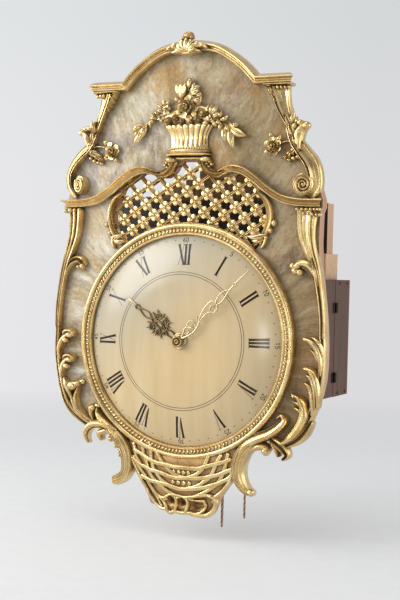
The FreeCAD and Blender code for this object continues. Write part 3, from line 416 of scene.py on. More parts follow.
# ---------------------------------------------------------------- materials
class Mat:
    """A node material put together step by step."""

    def __init__(self, name):
        self.m = bpy.data.materials.new(name)
        self.m.use_nodes = True
        self.nt = self.m.node_tree
        self.b = next(n for n in self.nt.nodes if n.type == "BSDF_PRINCIPLED")
        self.co = self.node("ShaderNodeTexCoord").outputs["Object"]

    def node(self, kind, **kw):
        n = self.nt.nodes.new(kind)
        for k, v in kw.items():
            setattr(n, k, v)
        return n

    def link(self, a, b):
        self.nt.links.new(a, b)

    def mapped(self, scale=(1, 1, 1), rot=(0, 0, 0), loc=(0, 0, 0)):
        n = self.node("ShaderNodeMapping")
        n.inputs["Scale"].default_value = scale
        n.inputs["Rotation"].default_value = rot
        n.inputs["Location"].default_value = loc
        self.link(self.co, n.inputs["Vector"])
        return n.outputs["Vector"]

    def noise(self, scale, vec=None, detail=4, rough=0.55, dist=0.0):
        n = self.node("ShaderNodeTexNoise")
        self.link(self.co if vec is None else vec, n.inputs["Vector"])
        n.inputs["Scale"].default_value = scale
        n.inputs["Detail"].default_value = detail
        n.inputs["Roughness"].default_value = rough
        n.inputs["Distortion"].default_value = dist
        return n.outputs["Fac"]

    def wave(self, scale, vec=None, dist=2.0, detail=3, dscale=1.5, direction="X", profile="SIN"):
        n = self.node("ShaderNodeTexWave", wave_type="BANDS", bands_direction=direction, wave_profile=profile)
        self.link(self.co if vec is None else vec, n.inputs["Vector"])
        n.inputs["Scale"].default_value = scale
        n.inputs["Distortion"].default_value = dist
        n.inputs["Detail"].default_value = detail
        n.inputs["Detail Scale"].default_value = dscale
        return n.outputs["Fac"]

    def ramp(self, fac, stops):
        n = self.node("ShaderNodeValToRGB")
        r = n.color_ramp
        while len(r.elements) < len(stops):
            r.elements.new(0.5)
        for e, (p, c) in zip(r.elements, stops):
            e.position = p
            e.color = (*c, 1) if len(c) == 3 else c
        self.link(fac, n.inputs["Fac"])
        return n.outputs["Color"]

    def span(self, fac, a, b, c=0.0, d=1.0):
        n = self.node("ShaderNodeMapRange")
        n.clamp = True
        for k, v in zip(("From Min", "From Max", "To Min", "To Max"), (a, b, c, d)):
            n.inputs[k].default_value = v
        self.link(fac, n.inputs["Value"])
        return n.outputs["Result"]

    def mix(self, fac, a, b, kind="MIX"):
        n = self.node("ShaderNodeMix", data_type="RGBA", blend_type=kind)
        f, x, y = n.inputs[0], n.inputs[6], n.inputs[7]
        for s, v in ((f, fac), (x, a), (y, b)):
            if hasattr(v, "is_output"):
                self.link(v, s)
            elif isinstance(v, (tuple, list)):
                s.default_value = (*v, 1) if len(v) == 3 else v
            else:
                s.default_value = v
        return n.outputs[2]

    def math(self, op, a, b=0.5):
        n = self.node("ShaderNodeMath", operation=op)
        for s, v in zip(n.inputs, (a, b)):
            if hasattr(v, "is_output"):
                self.link(v, s)
            else:
                s.default_value = v
        return n.outputs[0]

    # ambient occlusion: every use below paints shade into recesses and creases
    def hollow(self, distance, samples=8):
        n = self.node("ShaderNodeAmbientOcclusion", samples=samples)
        n.inputs["Distance"].default_value = distance
        return n.outputs["AO"]

    def facing_front(self, low=0.2, high=0.6):
        """1 on faces that look forward, 0 on edges and back."""
        g = self.node("ShaderNodeNewGeometry")
        s = self.node("ShaderNodeSeparateXYZ")
        self.link(g.outputs["True Normal"], s.inputs[0])
        return self.span(self.math("MULTIPLY", s.outputs["Y"], -1.0), low, high)

    def bump(self, fac, strength=0.2, distance=0.0005, after=None):
        n = self.node("ShaderNodeBump")
        n.inputs["Strength"].default_value = strength
        n.inputs["Distance"].default_value = distance
        self.link(fac, n.inputs["Height"])
        if after is not None:
            self.link(after, n.inputs["Normal"])
        return n.outputs["Normal"]

    def set(self, **kw):
        for k, v in kw.items():
            s = self.b.inputs[k.replace("_", " ")]
            if hasattr(v, "is_output"):
                self.link(v, s)
            elif isinstance(v, (tuple, list)) and len(v) == 3 and s.type == "RGBA":
                s.default_value = (*v, 1)
            else:
                s.default_value = v
        return self.m


def gilt(name="gilt_leaf"):
    m = Mat(name)
    a = m.noise(34, detail=5, rough=0.6)
    b = m.noise(150, detail=3)
    base = m.ramp(a, [(0.30, (0.56, 0.375, 0.140)), (0.50, (0.73, 0.525, 0.230)), (0.70, (0.86, 0.675, 0.360))])
    worn = m.span(m.noise(24, m.mapped(loc=(3.1, 1.7, 0.4)), detail=6, rough=0.7), 0.60, 0.78)
    base = m.mix(m.math("MULTIPLY", worn, 0.45), base, (0.42, 0.190, 0.085))
    # painted shade: where ambient occlusion finds a recess the gilding goes deep brown, less metallic and rougher
    shade_ao = m.hollow(0.011)
    dark = m.span(shade_ao, 0.22, 0.88, 1.0, 0.0)
    col = m.mix(m.math("MULTIPLY", dark, 0.90), base, (0.085, 0.047, 0.013))
    rough = m.math("ADD", m.span(b, 0.3, 0.7, 0.22, 0.36), m.math("MULTIPLY", dark, 0.25))
    bump = m.bump(m.noise(420, detail=2), 0.03, 0.0004)
    bump = m.bump(m.noise(70, detail=3), 0.11, 0.0013, bump)
    return m.set(Base_Color=col, Metallic=m.math("SUBTRACT", 1.0, m.math("MULTIPLY", dark, 0.40)), Roughness=rough, Normal=bump, Coat_Weight=0.55, Coat_Roughness=0.22)


def marble():
    m = Mat("marble_paint")
    tilt = math.radians(34)
    warp = m.node("ShaderNodeTexNoise")
    m.link(m.co, warp.inputs["Vector"])
    warp.inputs["Scale"].default_value, warp.inputs["Detail"].default_value = 5.5, 3
    shift = m.node("ShaderNodeVectorMath", operation="MULTIPLY_ADD")
    m.link(warp.outputs["Color"], shift.inputs[0])
    shift.inputs[1].default_value = (0.055, 0.055, 0.055)
    m.link(m.co, shift.inputs[2])
    bent = shift.outputs[0]

    def turned(scale, rot, loc=(0, 0, 0)):
        n = m.node("ShaderNodeMapping")
        n.inputs["Scale"].default_value, n.inputs["Rotation"].default_value, n.inputs["Location"].default_value = scale, (0, rot, 0), loc
        m.link(bent, n.inputs["Vector"])
        return n.outputs["Vector"]

    sb = m.node("ShaderNodeSeparateXYZ")
    m.link(bent, sb.inputs[0])
    up = m.math("SUBTRACT", sb.outputs["Z"], -0.10)
    ang = m.math("ARCTAN2", sb.outputs["X"], up)
    rad = m.math("POWER", m.math("ADD", m.math("MULTIPLY", sb.outputs["X"], sb.outputs["X"]), m.math("MULTIPLY", up, up)), 0.5)

    def brushed(k, q, seed):
        n = m.node("ShaderNodeCombineXYZ")
        m.link(m.math("MULTIPLY", ang, k), n.inputs[0])
        m.link(m.math("MULTIPLY", rad, q), n.inputs[1])
        n.inputs[2].default_value = seed
        return n.outputs[0]

    streak = m.noise(1.0, brushed(13, 12, 0.0), detail=8, rough=0.70, dist=0.5)
    feather = m.noise(1.0, brushed(30, 26, 4.0), detail=7, rough=0.72, dist=0.5)
    fine = m.noise(1.0, brushed(80, 95, 9.0), detail=5, rough=0.68)
    cloud = m.noise(7.0, turned((1, 1, 1), 0.0), detail=6, rough=0.60, dist=0.6)
    patch = m.noise(8.5, turned((1, 1, 0.8), -tilt, (5.3, 2.0, 1.1)), detail=5, rough=0.6, dist=0.8)
    mauve = m.noise(9.5, m.mapped(loc=(1.3, 7.0, 3.1)), detail=5, rough=0.65, dist=0.6)
    col = m.ramp(cloud, [(0.30, (0.330, 0.262, 0.165)), (0.44, (0.430, 0.358, 0.245)), (0.56, (0.535, 0.480, 0.380)), (0.70, (0.640, 0.610, 0.540))])
    # ochre patches of the paint itself, laid on more heavily towards the right as painted shade on that side
    col = m.mix(m.math("MULTIPLY", m.span(patch, 0.49, 0.59), m.span(sb.outputs["X"], -0.22, -0.05, 0.30, 0.86)), col, (0.450, 0.305, 0.145))
    olive = m.noise(7.5, turned((1, 1, 0.7), tilt, (9.1, 4.0, 6.2)), detail=5, rough=0.62, dist=0.7)
    col = m.mix(m.math("MULTIPLY", m.span(olive, 0.53, 0.62), 0.68), col, (0.335, 0.315, 0.205))
    col = m.mix(m.math("MULTIPLY", m.span(mauve, 0.53, 0.62), 0.78), col, (0.300, 0.250, 0.222))
    col = m.mix(m.math("MULTIPLY", m.span(streak, 0.52, 0.66), 0.78), col, (0.660, 0.635, 0.560))
    col = m.mix(m.math("MULTIPLY", m.span(streak, 0.48, 0.34), 0.66), col, (0.270, 0.185, 0.095))
    col = m.mix(m.math("MULTIPLY", m.span(feather, 0.53, 0.70), 0.62), col, (0.200, 0.160, 0.110))
    col = m.mix(m.math("MULTIPLY", m.span(fine, 0.57, 0.74), 0.62), col, (0.150, 0.115, 0.075))
    speck = m.noise(210, detail=4, rough=0.7)
    col = m.mix(m.math("MULTIPLY", m.span(speck, 0.56, 0.70), 0.50), col, (0.165, 0.130, 0.090))
    col = m.mix(m.math("MULTIPLY", m.span(speck, 0.44, 0.32), 0.40), col, (0.620, 0.590, 0.500))
    vein = m.noise(13, turned((1.4, 1, 0.8), -tilt, (0.4, 3.0, 8.0)), detail=6, rough=0.62, dist=0.5)
    line = m.span(m.math("ABSOLUTE", m.math("SUBTRACT", vein, 0.5)), 0.0, 0.016, 1.0, 0.0)
    col = m.mix(m.math("MULTIPLY", m.math("MULTIPLY", line, m.span(mauve, 0.45, 0.60)), 0.40), col, (0.130, 0.095, 0.075))
    sep = m.node("ShaderNodeSeparateXYZ")
    m.link(m.co, sep.inputs[0])
    crisp = m.node("ShaderNodeBrightContrast")
    m.link(col, crisp.inputs["Color"])
    crisp.inputs["Bright"].default_value, crisp.inputs["Contrast"].default_value = 0.02, 0.21
    col = crisp.outputs["Color"]
    # painted light and shade: the right side is darkened and browned, the left side made paler and cooler, as light
    # falls from the left
    side = m.span(sep.outputs["X"], -0.16, 0.20, 0.0, 1.0)
    col = m.mix(m.math("MULTIPLY", side, 0.95), col, (0.500, 0.415, 0.285), "MULTIPLY")
    col = m.mix(m.span(sep.outputs["X"], -0.20, -0.03, 1.0, 0.0), col, (0.99, 1.05, 1.20), "MULTIPLY")
    col = m.mix(1.0, col, (1.0, 0.985, 0.925), "MULTIPLY")
    # painted shade: dark brown where ambient occlusion finds the board crowded by carving
    shade_ao = m.span(m.hollow(0.020), 0.30, 0.95, 0.60, 0.0)
    col = m.mix(shade_ao, col, (0.090, 0.062, 0.040))
    grain = m.noise(1.0, m.mapped(scale=(90, 90, 5)), detail=5, rough=0.6)
    wood = m.ramp(grain, [(0.35, (0.46, 0.245, 0.140)), (0.55, (0.58, 0.330, 0.200)), (0.70, (0.65, 0.395, 0.250))])
    front = m.facing_front()
    col = m.mix(front, wood, col)
    bump = m.bump(fine, 0.14, 0.0005)
    return m.set(Base_Color=col, Roughness=m.span(cloud, 0.3, 0.7, 0.42, 0.58), Normal=bump, Specular_IOR_Level=0.35)


def wood(name, dark, mid, light, along="Z", scale=1.0, rough=(0.42, 0.6), spec=0.4):
    m = Mat(name)
    s = {"X": (6, 90, 90), "Y": (90, 6, 90), "Z": (90, 90, 6)}[along]
    s = tuple(c * scale for c in s)
    g = m.noise(1.0, m.mapped(scale=s), detail=6, rough=0.62, dist=0.6)
    f = m.noise(1.0, m.mapped(scale=tuple(c * 3.2 for c in s)), detail=3)
    col = m.ramp(g, [(0.30, dark), (0.52, mid), (0.72, light)])
    col = m.mix(m.math("MULTIPLY", m.span(f, 0.56, 0.75), 0.4), col, dark)
    # painted shade: darker in recesses and corners found by ambient occlusion
    shade_ao = m.span(m.hollow(0.012), 0.3, 0.95, 0.45, 0.0)
    col = m.mix(shade_ao, col, tuple(c * 0.3 for c in dark))
    return m.set(Base_Color=col, Roughness=m.span(g, 0.3, 0.7, *rough), Normal=m.bump(f, 0.12, 0.0004), Specular_IOR_Level=spec)


def metal(name, dark, light, rough=(0.22, 0.4), scale=60, metallic=1.0):
    m = Mat(name)
    a = m.noise(scale, detail=5, rough=0.6)
    col = m.ramp(a, [(0.35, dark), (0.65, light)])
    # painted shade: darker in recesses found by ambient occlusion
    shade_ao = m.span(m.hollow(0.006), 0.3, 0.95, 0.6, 0.0)
    col = m.mix(shade_ao, col, tuple(c * 0.2 for c in dark))
    return m.set(Base_Color=col, Metallic=metallic, Roughness=m.span(a, 0.3, 0.7, *rough), Normal=m.bump(m.noise(420), 0.06, 0.0003))


def dial_cream():
    m = Mat("dial_paint")
    v = m.noise(1.0, m.mapped(scale=(34, 8, 3.5)), detail=4, rough=0.55)
    c = m.noise(9, detail=4)
    col = m.ramp(v, [(0.32, (0.505, 0.376, 0.195)), (0.52, (0.545, 0.416, 0.231)), (0.70, (0.580, 0.455, 0.266))])
    col = m.mix(m.math("MULTIPLY", m.span(c, 0.45, 0.70), 0.45), col, (0.590, 0.420, 0.205))
    sep = m.node("ShaderNodeSeparateXYZ")
    m.link(m.co, sep.inputs[0])
    # painted reflection: towards the top-left the paint turns greyer and less yellow, standing in for the hazy
    # reflection of the light there
    lift = m.math("SUBTRACT", m.math("MULTIPLY", m.math("ADD", sep.outputs["Z"], 0.135), 0.8), m.math("MULTIPLY", sep.outputs["X"], 0.6))
    lift = m.math("ADD", lift, m.math("MULTIPLY", m.math("SUBTRACT", c, 0.5), 0.08))
    col = m.mix(m.math("MULTIPLY", m.span(lift, 0.0, 0.13), 0.80), col, (0.362, 0.340, 0.270))
    # painted shade: the right side of the dial darker and cooler, away from the light
    col = m.mix(m.math("MULTIPLY", m.span(sep.outputs["X"], 0.06, 0.19), 0.85), col, (0.80, 0.84, 0.92), "MULTIPLY")
    fleck = m.span(m.noise(170, detail=2), 0.70, 0.78)
    col = m.mix(m.math("MULTIPLY", fleck, 0.25), col, (0.42, 0.30, 0.16))
    return m.set(Base_Color=col, Roughness=m.span(c, 0.3, 0.7, 0.19, 0.25), Specular_IOR_Level=0.42, Normal=m.bump(m.noise(60), 0.02, 0.0004))


def ink():
    m = Mat("numeral_black")
    a = m.noise(90, detail=4)
    return m.set(Base_Color=m.ramp(a, [(0.3, (0.012, 0.007, 0.003)), (0.7, (0.030, 0.019, 0.010))]), Roughness=m.span(a, 0.3, 0.7, 0.19, 0.26), Specular_IOR_Level=0.32)


GILT = gilt()


def bole():
    m = Mat("gilt_ground")
    a = m.noise(45, detail=5, rough=0.65)
    col = m.ramp(a, [(0.30, (0.34, 0.195, 0.085)), (0.55, (0.50, 0.315, 0.135)), (0.75, (0.62, 0.420, 0.200))])
    # painted shade: near black in the hollows found by ambient occlusion
    dark = m.span(m.hollow(0.012), 0.25, 0.9, 0.9, 0.0)
    col = m.mix(dark, col, (0.060, 0.028, 0.010))
    return m.set(Base_Color=col, Metallic=0.75, Roughness=m.span(a, 0.3, 0.7, 0.38, 0.54), Normal=m.bump(m.noise(260, detail=3), 0.3, 0.0006))


BOLE = bole()
MARBLE = marble()
DIAL = dial_cream()
INK = ink()
BRASS = metal("hand_brass", (0.56, 0.46, 0.27), (0.78, 0.69, 0.47), (0.28, 0.42))
BOSS = metal("boss_brass", (0.36, 0.27, 0.140), (0.54, 0.43, 0.240), (0.30, 0.44))
BRONZE = metal("hand_bronze", (0.098, 0.064, 0.026), (0.28, 0.195, 0.084), (0.30, 0.46))
GEAR = metal("gear_brass", (0.62, 0.43, 0.16), (0.80, 0.60, 0.27), (0.24, 0.38))
STEEL = metal("steel", (0.34, 0.34, 0.35), (0.52, 0.52, 0.53), (0.24, 0.36))
NUT = metal("nut_brass", (0.24, 0.165, 0.070), (0.46, 0.335, 0.150), (0.26, 0.40))
IRON = metal("iron", (0.030, 0.027, 0.025), (0.085, 0.075, 0.068), (0.45, 0.62))
CASE = wood("case_wood", (0.078, 0.038, 0.024), (0.122, 0.064, 0.042), (0.165, 0.092, 0.062), "Z", 0.8, (0.45, 0.60), 0.22)
MOVE = wood("movement_wood", (0.30, 0.165, 0.075), (0.42, 0.245, 0.120), (0.52, 0.320, 0.170), "Z")
ORGAN = wood("organ_wood", (0.50, 0.285, 0.130), (0.62, 0.385, 0.195), (0.70, 0.470, 0.265), "Z", 0.9, (0.40, 0.55))
CHEST = wood("chest_wood", (0.56, 0.340, 0.175), (0.66, 0.430, 0.240), (0.74, 0.510, 0.300), "X", 0.9, (0.40, 0.55))


def hide():
    m = Mat("bellows_leather")
    a = m.noise(140, detail=5, rough=0.65)
    return m.set(Base_Color=m.ramp(a, [(0.3, (0.36, 0.25, 0.15)), (0.7, (0.58, 0.44, 0.29))]), Roughness=m.span(a, 0.3, 0.7, 0.55, 0.75), Normal=m.bump(a, 0.25, 0.0006))


LEATHER = hide()


def stained_pipes():
    """Plain wood on the sides; painted shade on the fronts, dark brown higher up and near black lower down."""
    m = Mat("pipe_wood")
    g = m.noise(1.0, m.mapped(scale=(85, 85, 5.5)), detail=6, rough=0.62, dist=0.6)
    col = m.ramp(g, [(0.30, (0.47, 0.265, 0.150)), (0.52, (0.58, 0.360, 0.220)), (0.72, (0.66, 0.440, 0.290))])
    sep = m.node("ShaderNodeSeparateXYZ")
    m.link(m.co, sep.inputs[0])
    # painted shadow: the pipe fronts go dark brown above this height and near black below it, where the case's shade
    # falls
    high = m.span(sep.outputs["Z"], 0.122, 0.132)
    front_shade = m.mix(high, (0.012, 0.005, 0.002), m.ramp(g, [(0.3, (0.085, 0.045, 0.014)), (0.7, (0.165, 0.095, 0.032))]))
    col = m.mix(m.facing_front(), col, front_shade)
    # painted shade: darker between the pipes where ambient occlusion finds a recess
    shade_ao = m.span(m.hollow(0.010), 0.3, 0.95, 0.45, 0.0)
    col = m.mix(shade_ao, col, (0.05, 0.028, 0.014))
    return m.set(Base_Color=col, Roughness=m.span(g, 0.3, 0.7, 0.48, 0.62), Specular_IOR_Level=0.3, Normal=m.bump(g, 0.1, 0.0004))


PIPES = stained_pipes()


def twine(name, dark, mid, light):
    m = Mat(name)
    a = m.noise(220, detail=4)
    col = m.ramp(a, [(0.32, dark), (0.52, mid), (0.72, light)])
    # painted shade: darker in the crevices between strands found by ambient occlusion
    shade_ao = m.span(m.hollow(0.003), 0.3, 0.9, 0.5, 0.0)
    col = m.mix(shade_ao, col, tuple(c * 0.25 for c in dark))
    return m.set(Base_Color=col, Roughness=m.span(a, 0.3, 0.7, 0.6, 0.8), Normal=m.bump(a, 0.3, 0.0004))


TWINE = twine("cord_fibre", (0.135, 0.055, 0.030), (0.255, 0.115, 0.060), (0.36, 0.19, 0.10))
PALE = twine("cord_fibre_pale", (0.42, 0.28, 0.14), (0.62, 0.47, 0.27), (0.74, 0.60, 0.38))


# ---------------------------------------------------------------- camera, light and floor
AIM = Vector((0.0267128, -0.220, -0.061441))


def studio():
    a, e, r = (math.radians(v) for v in (25.6036, 1.23006, 1.38971))
    back = Vector((math.sin(a) * math.cos(e), -math.cos(a) * math.cos(e), math.sin(e)))
    right = Vector((math.cos(a), math.sin(a), 0))
    up = right.cross(-back)
    R = right * math.cos(r) + up * math.sin(r)
    U = up * math.cos(r) - right * math.sin(r)
    cam = bpy.data.cameras.new("camera")
    cam.sensor_fit, cam.sensor_width, cam.lens = "AUTO", 36.0, 71.381
    cam.clip_start, cam.clip_end = 0.05, 60
    ob = bpy.data.objects.new("camera", cam)
    C = AIM + back * 2.107936
    ob.matrix_world = Matrix(((R.x, U.x, back.x, C.x), (R.y, U.y, back.y, C.y), (R.z, U.z, back.z, C.z), (0, 0, 0, 1)))
    bpy.context.scene.collection.objects.link(ob)
    bpy.context.scene.camera = ob

    def soft(name, az, el, dist, w, h, power, colour=(1, 1, 1), aim=AIM):
        L = bpy.data.lights.new(name, "AREA")
        L.shape, L.size, L.size_y, L.energy, L.color = "RECTANGLE", w, h, power, colour
        o = bpy.data.objects.new(name, L)
        a2, e2 = math.radians(az), math.radians(el)
        d = Vector((math.sin(a2) * math.cos(e2), -math.cos(a2) * math.cos(e2), math.sin(e2)))
        o.location = aim + d * dist
        o.rotation_euler = d.to_track_quat("Z", "Y").to_euler()
        bpy.context.scene.collection.objects.link(o)

    soft("key", -47, 20, 1.7, 0.95, 0.95, 22, (1.0, 0.985, 0.96))
    soft("strip", 9.5, -1.8, 2.6, 0.30, 0.44, 8.5, (0.97, 0.985, 1.0))
    soft("fill", 58, 12, 2.6, 1.0, 1.6, 9, (0.97, 0.985, 1.0))
    soft("side", 106, 10, 2.4, 1.6, 1.8, 16, (1.0, 0.98, 0.95))
    soft("left", -90, 8, 2.4, 1.0, 1.6, 20, (1.0, 0.985, 0.96))
    soft("over", -6, 74, 2.2, 1.4, 1.0, 13)

    w = bpy.data.worlds.new("studio")
    bpy.context.scene.world = w
    w.use_nodes = True
    nt = w.node_tree
    bg = next(n for n in nt.nodes if n.type == "BACKGROUND")
    tc = nt.nodes.new("ShaderNodeTexCoord")
    sx = nt.nodes.new("ShaderNodeSeparateXYZ")
    nt.links.new(tc.outputs["Generated"], sx.inputs[0])
    seen, lit = nt.nodes.new("ShaderNodeValToRGB"), nt.nodes.new("ShaderNodeValToRGB")
    up = nt.nodes.new("ShaderNodeMapRange")
    up.inputs["From Min"].default_value, up.inputs["From Max"].default_value = -0.3, 0.3
    nt.links.new(sx.outputs["Z"], up.inputs["Value"])
    for n, stops in (
        (seen, [(0.0, (0.79, 0.80, 0.81)), (0.45, (0.80, 0.795, 0.815)), (0.62, (0.80, 0.80, 0.82)), (0.92, (0.735, 0.765, 0.775))]),
        (lit, [(0.0, (0.56, 0.55, 0.52)), (0.40, (0.48, 0.47, 0.45)), (0.56, (0.17, 0.17, 0.172)), (0.8, (0.26, 0.265, 0.275)), (1.0, (0.36, 0.365, 0.38))]),
    ):
        while len(n.color_ramp.elements) < len(stops):
            n.color_ramp.elements.new(0.5)
        for el, (p, c) in zip(n.color_ramp.elements, stops):
            el.position, el.color = p, (*c, 1)
        nt.links.new(up.outputs["Result"], n.inputs["Fac"])
    lp = nt.nodes.new("ShaderNodeLightPath")
    mx = nt.nodes.new("ShaderNodeMix")
    mx.data_type = "RGBA"
    nt.links.new(lp.outputs["Is Camera Ray"], mx.inputs[0])
    room = nt.nodes.new("ShaderNodeMapRange")
    for k, v in zip(("From Min", "From Max", "To Min", "To Max"), (-0.85, 0.50, 2.75, 0.62)):
        room.inputs[k].default_value = v
    nt.links.new(sx.outputs["X"], room.inputs["Value"])
    glow = nt.nodes.new("ShaderNodeVectorMath")
    glow.operation = "SCALE"
    nt.links.new(lit.outputs["Color"], glow.inputs[0])
    nt.links.new(room.outputs["Result"], glow.inputs["Scale"])
    wall = nt.nodes.new("ShaderNodeMapRange")
    for k, v in zip(("From Min", "From Max", "To Min", "To Max"), (-0.05, 0.30, 0.0, 1.0)):
        wall.inputs[k].default_value = v
    nt.links.new(sx.outputs["Y"], wall.inputs["Value"])
    sweep = nt.nodes.new("ShaderNodeMix")
    sweep.data_type = "RGBA"
    nt.links.new(wall.outputs["Result"], sweep.inputs[0])
    nt.links.new(glow.outputs[0], sweep.inputs[6])
    sweep.inputs[7].default_value = (0.62, 0.63, 0.64, 1)
    nt.links.new(sweep.outputs[2], mx.inputs[6])
    across = nt.nodes.new("ShaderNodeMapRange")
    for k, v in zip(("From Min", "From Max", "To Min", "To Max"), (-0.57, -0.30, 1.0, 0.885)):
        across.inputs[k].default_value = v
    nt.links.new(sx.outputs["X"], across.inputs["Value"])
    dim = nt.nodes.new("ShaderNodeVectorMath")
    dim.operation = "SCALE"
    nt.links.new(seen.outputs["Color"], dim.inputs[0])
    nt.links.new(across.outputs["Result"], dim.inputs["Scale"])
    nt.links.new(dim.outputs[0], mx.inputs[7])
    nt.links.new(mx.outputs[2], bg.inputs["Color"])

    # a round floor whose rim fades out
    n, rings = 64, [0.0, 0.4, 0.9, 1.6, 2.6, 4.0]
    V = [(0.0, 0.0, 0.0)]
    F = []
    for rr in rings[1:]:
        V += [(rr * math.cos(2 * PI * k / n), rr * math.sin(2 * PI * k / n), 0.0) for k in range(n)]
    for k in range(n):
        F.append((0, 1 + k, 1 + (k + 1) % n))
    for i in range(len(rings) - 2):
        a0, b0 = 1 + i * n, 1 + (i + 1) * n
        for k in range(n):
            F.append((a0 + k, b0 + k, b0 + (k + 1) % n, a0 + (k + 1) % n))
    me = bpy.data.meshes.new("floor")
    me.from_pydata(V, [], F)
    fl = bpy.data.objects.new("floor", me)
    fl.location = (0, -0.15, -0.4856)
    bpy.context.scene.collection.objects.link(fl)
    m = Mat("floor_paint")
    g = m.node("ShaderNodeTexGradient", gradient_type="SPHERICAL")
    m.link(m.mapped(scale=(1 / 2.9, 1 / 2.9, 1 / 2.9)), g.inputs["Vector"])
    grain = m.noise(30, detail=3)
    m.set(Base_Color=m.ramp(grain, [(0.3, (0.33, 0.335, 0.34)), (0.7, (0.35, 0.355, 0.36))]), Roughness=0.85, Specular_IOR_Level=0.1, Emission_Color=(1.0, 1.0, 1.0), Emission_Strength=0.36)
    clear = m.node("ShaderNodeBsdfTransparent")
    ms = m.node("ShaderNodeMixShader")
    m.link(m.span(g.outputs["Fac"], 0.10, 0.62), ms.inputs[0])
    m.link(clear.outputs[0], ms.inputs[1])
    m.link(m.b.outputs[0], ms.inputs[2])
    out = next(x for x in m.nt.nodes if x.type == "OUTPUT_MATERIAL")
    m.link(ms.outputs[0], out.inputs["Surface"])
    me.materials.append(m.m)
    bpy.context.scene.view_settings.view_transform = "Standard"


studio()


# ---------------------------------------------------------------- dial
FLAT_R, DIAL_TOP, DIAL_RIM = 95.0, -22.2, -4.1
BEND = ((187.6 - FLAT_R) ** 2 + (DIAL_RIM - DIAL_TOP) ** 2) / (2 * (DIAL_RIM - DIAL_TOP))


def dome(x, z):
    """Front of the dial at x, z: level in the middle, then rounding back to the rim."""
    d = np.clip(np.hypot(np.asarray(x, float), np.asarray(z, float)) - FLAT_R, 0.0, 94.0)
    return DIAL_TOP + BEND - np.sqrt(BEND**2 - d**2)


s = Solid()
rr = np.concatenate([np.linspace(9, 91, 9), np.linspace(95, 187.6, 60)])
s.lathe(np.vstack([[9, 0], [187.6, 0], np.stack([rr, dome(rr, 0)], 1)[::-1]]), n=220)
s.build("dial_dome", DIAL, "case", ["dial"], "dial_paint")


def inlay(sol, pts, lift=0.22, step=1.6):
    """A painted stroke lying on the dome along (x, z, width) points."""
    P = np.asarray(pts, float)
    C = even(P, step)
    T = np.gradient(C[:, :2], axis=0)
    T /= np.linalg.norm(T, axis=1)[:, None] + 1e-12
    N = np.stack([-T[:, 1], T[:, 0]], 1)
    k = np.array([-1.0, -1.0, 0.0, 1.0, 1.0, 0.0])
    low = np.array([1, 0, 0, 0, 1, 1], bool)
    X = C[:, :1] + N[:, :1] * k * C[:, 2:3] / 2
    Z = C[:, 1:2] + N[:, 1:2] * k * C[:, 2:3] / 2
    Y = dome(X, Z) + np.where(low, 0.5, -lift)
    sol.tube(np.stack([X, Y, Z], -1))


DIGITS = {
    "0": [[(0.30, 1.0), (0.08, 0.80), (0.04, 0.5), (0.08, 0.2), (0.30, 0.0), (0.52, 0.2), (0.56, 0.5), (0.52, 0.80), (0.30, 1.0)]],
    "1": [[(0.12, 0.80), (0.32, 1.0), (0.32, 0.0)]],
    "2": [[(0.06, 0.76), (0.16, 0.96), (0.38, 0.98), (0.52, 0.80), (0.44, 0.55), (0.06, 0.04), (0.56, 0.04)]],
    "3": [[(0.06, 0.88), (0.28, 1.0), (0.50, 0.84), (0.44, 0.60), (0.26, 0.53), (0.48, 0.44), (0.54, 0.22), (0.32, 0.02), (0.05, 0.12)]],
    "4": [[(0.44, 0.0), (0.44, 1.0), (0.02, 0.32), (0.60, 0.32)]],
    "5": [[(0.52, 0.98), (0.12, 0.98), (0.10, 0.56), (0.34, 0.60), (0.54, 0.42), (0.50, 0.14), (0.28, 0.0), (0.05, 0.10)]],
    "6": [[(0.50, 0.94), (0.26, 0.92), (0.08, 0.55), (0.06, 0.26), (0.26, 0.0), (0.50, 0.14), (0.52, 0.40), (0.30, 0.52), (0.08, 0.34)]],
}


# painted hour numerals: stem (k), tapering stem (v) or hair line (h), each from its outer to its inner end
NUMERALS = [
    ("k", -11.2, 171.5, 2.0, 135.5), ("h", -1.4, 171.6, -8.7, 135.3), ("k", 2.5, 171.6, 5.1, 135.5), ("k", 10.0, 171.7, 11.4, 135.7),
    ("k", 80.5, 150.0, 64.8, 117.8),
    ("k", 139.5, 91.6, 112.4, 71.9), ("k", 143.2, 85.6, 115.7, 66.1),
    ("k", 165.6, 9.8, 131.2, 8.3), ("k", 165.8, 3.6, 131.2, 2.8), ("k", 165.8, -3.3, 131.4, -2.8),
    ("k", 144.7, -80.7, 114.9, -63.2), ("v", 141.3, -86.4, 111.5, -68.4), ("h", 137.8, -93.8, 111.8, -68.8),
    ("v", 86.1, -146.9, 66.4, -116.2), ("h", 76.9, -152.4, 66.7, -116.9),
    ("k", -7.1, -172.1, -3.8, -134.3), ("v", 5.9, -172.3, 3.3, -135.2), ("h", -1.8, -173.2, 3.1, -135.6),
    ("k", -91.3, -147.5, -71.0, -115.5), ("k", -84.6, -151.4, -66.2, -118.0), ("v", -72.0, -158.4, -60.7, -122.8), ("h", -79.0, -155.2, -61.2, -123.2),
    ("k", -153.2, -79.2, -120.1, -60.2), ("k", -150.1, -85.1, -116.9, -65.6), ("k", -146.3, -90.9, -113.8, -71.0), ("v", -139.6, -102.0, -112.1, -76.6), ("h", -143.2, -96.2, -112.8, -76.8),
    ("k", -169.3, -8.5, -132.6, -7.8), ("k", -169.4, -3.3, -132.4, 4.8), ("h", -169.2, 5.8, -132.7, -3.9),
    ("k", -151.9, 77.6, -113.8, 69.0), ("h", -145.9, 88.6, -119.8, 58.8),
    ("k", -97.9, 141.0, -70.2, 116.2), ("h", -87.9, 146.6, -77.9, 110.3), ("k", -83.1, 148.5, -66.2, 119.4),
]


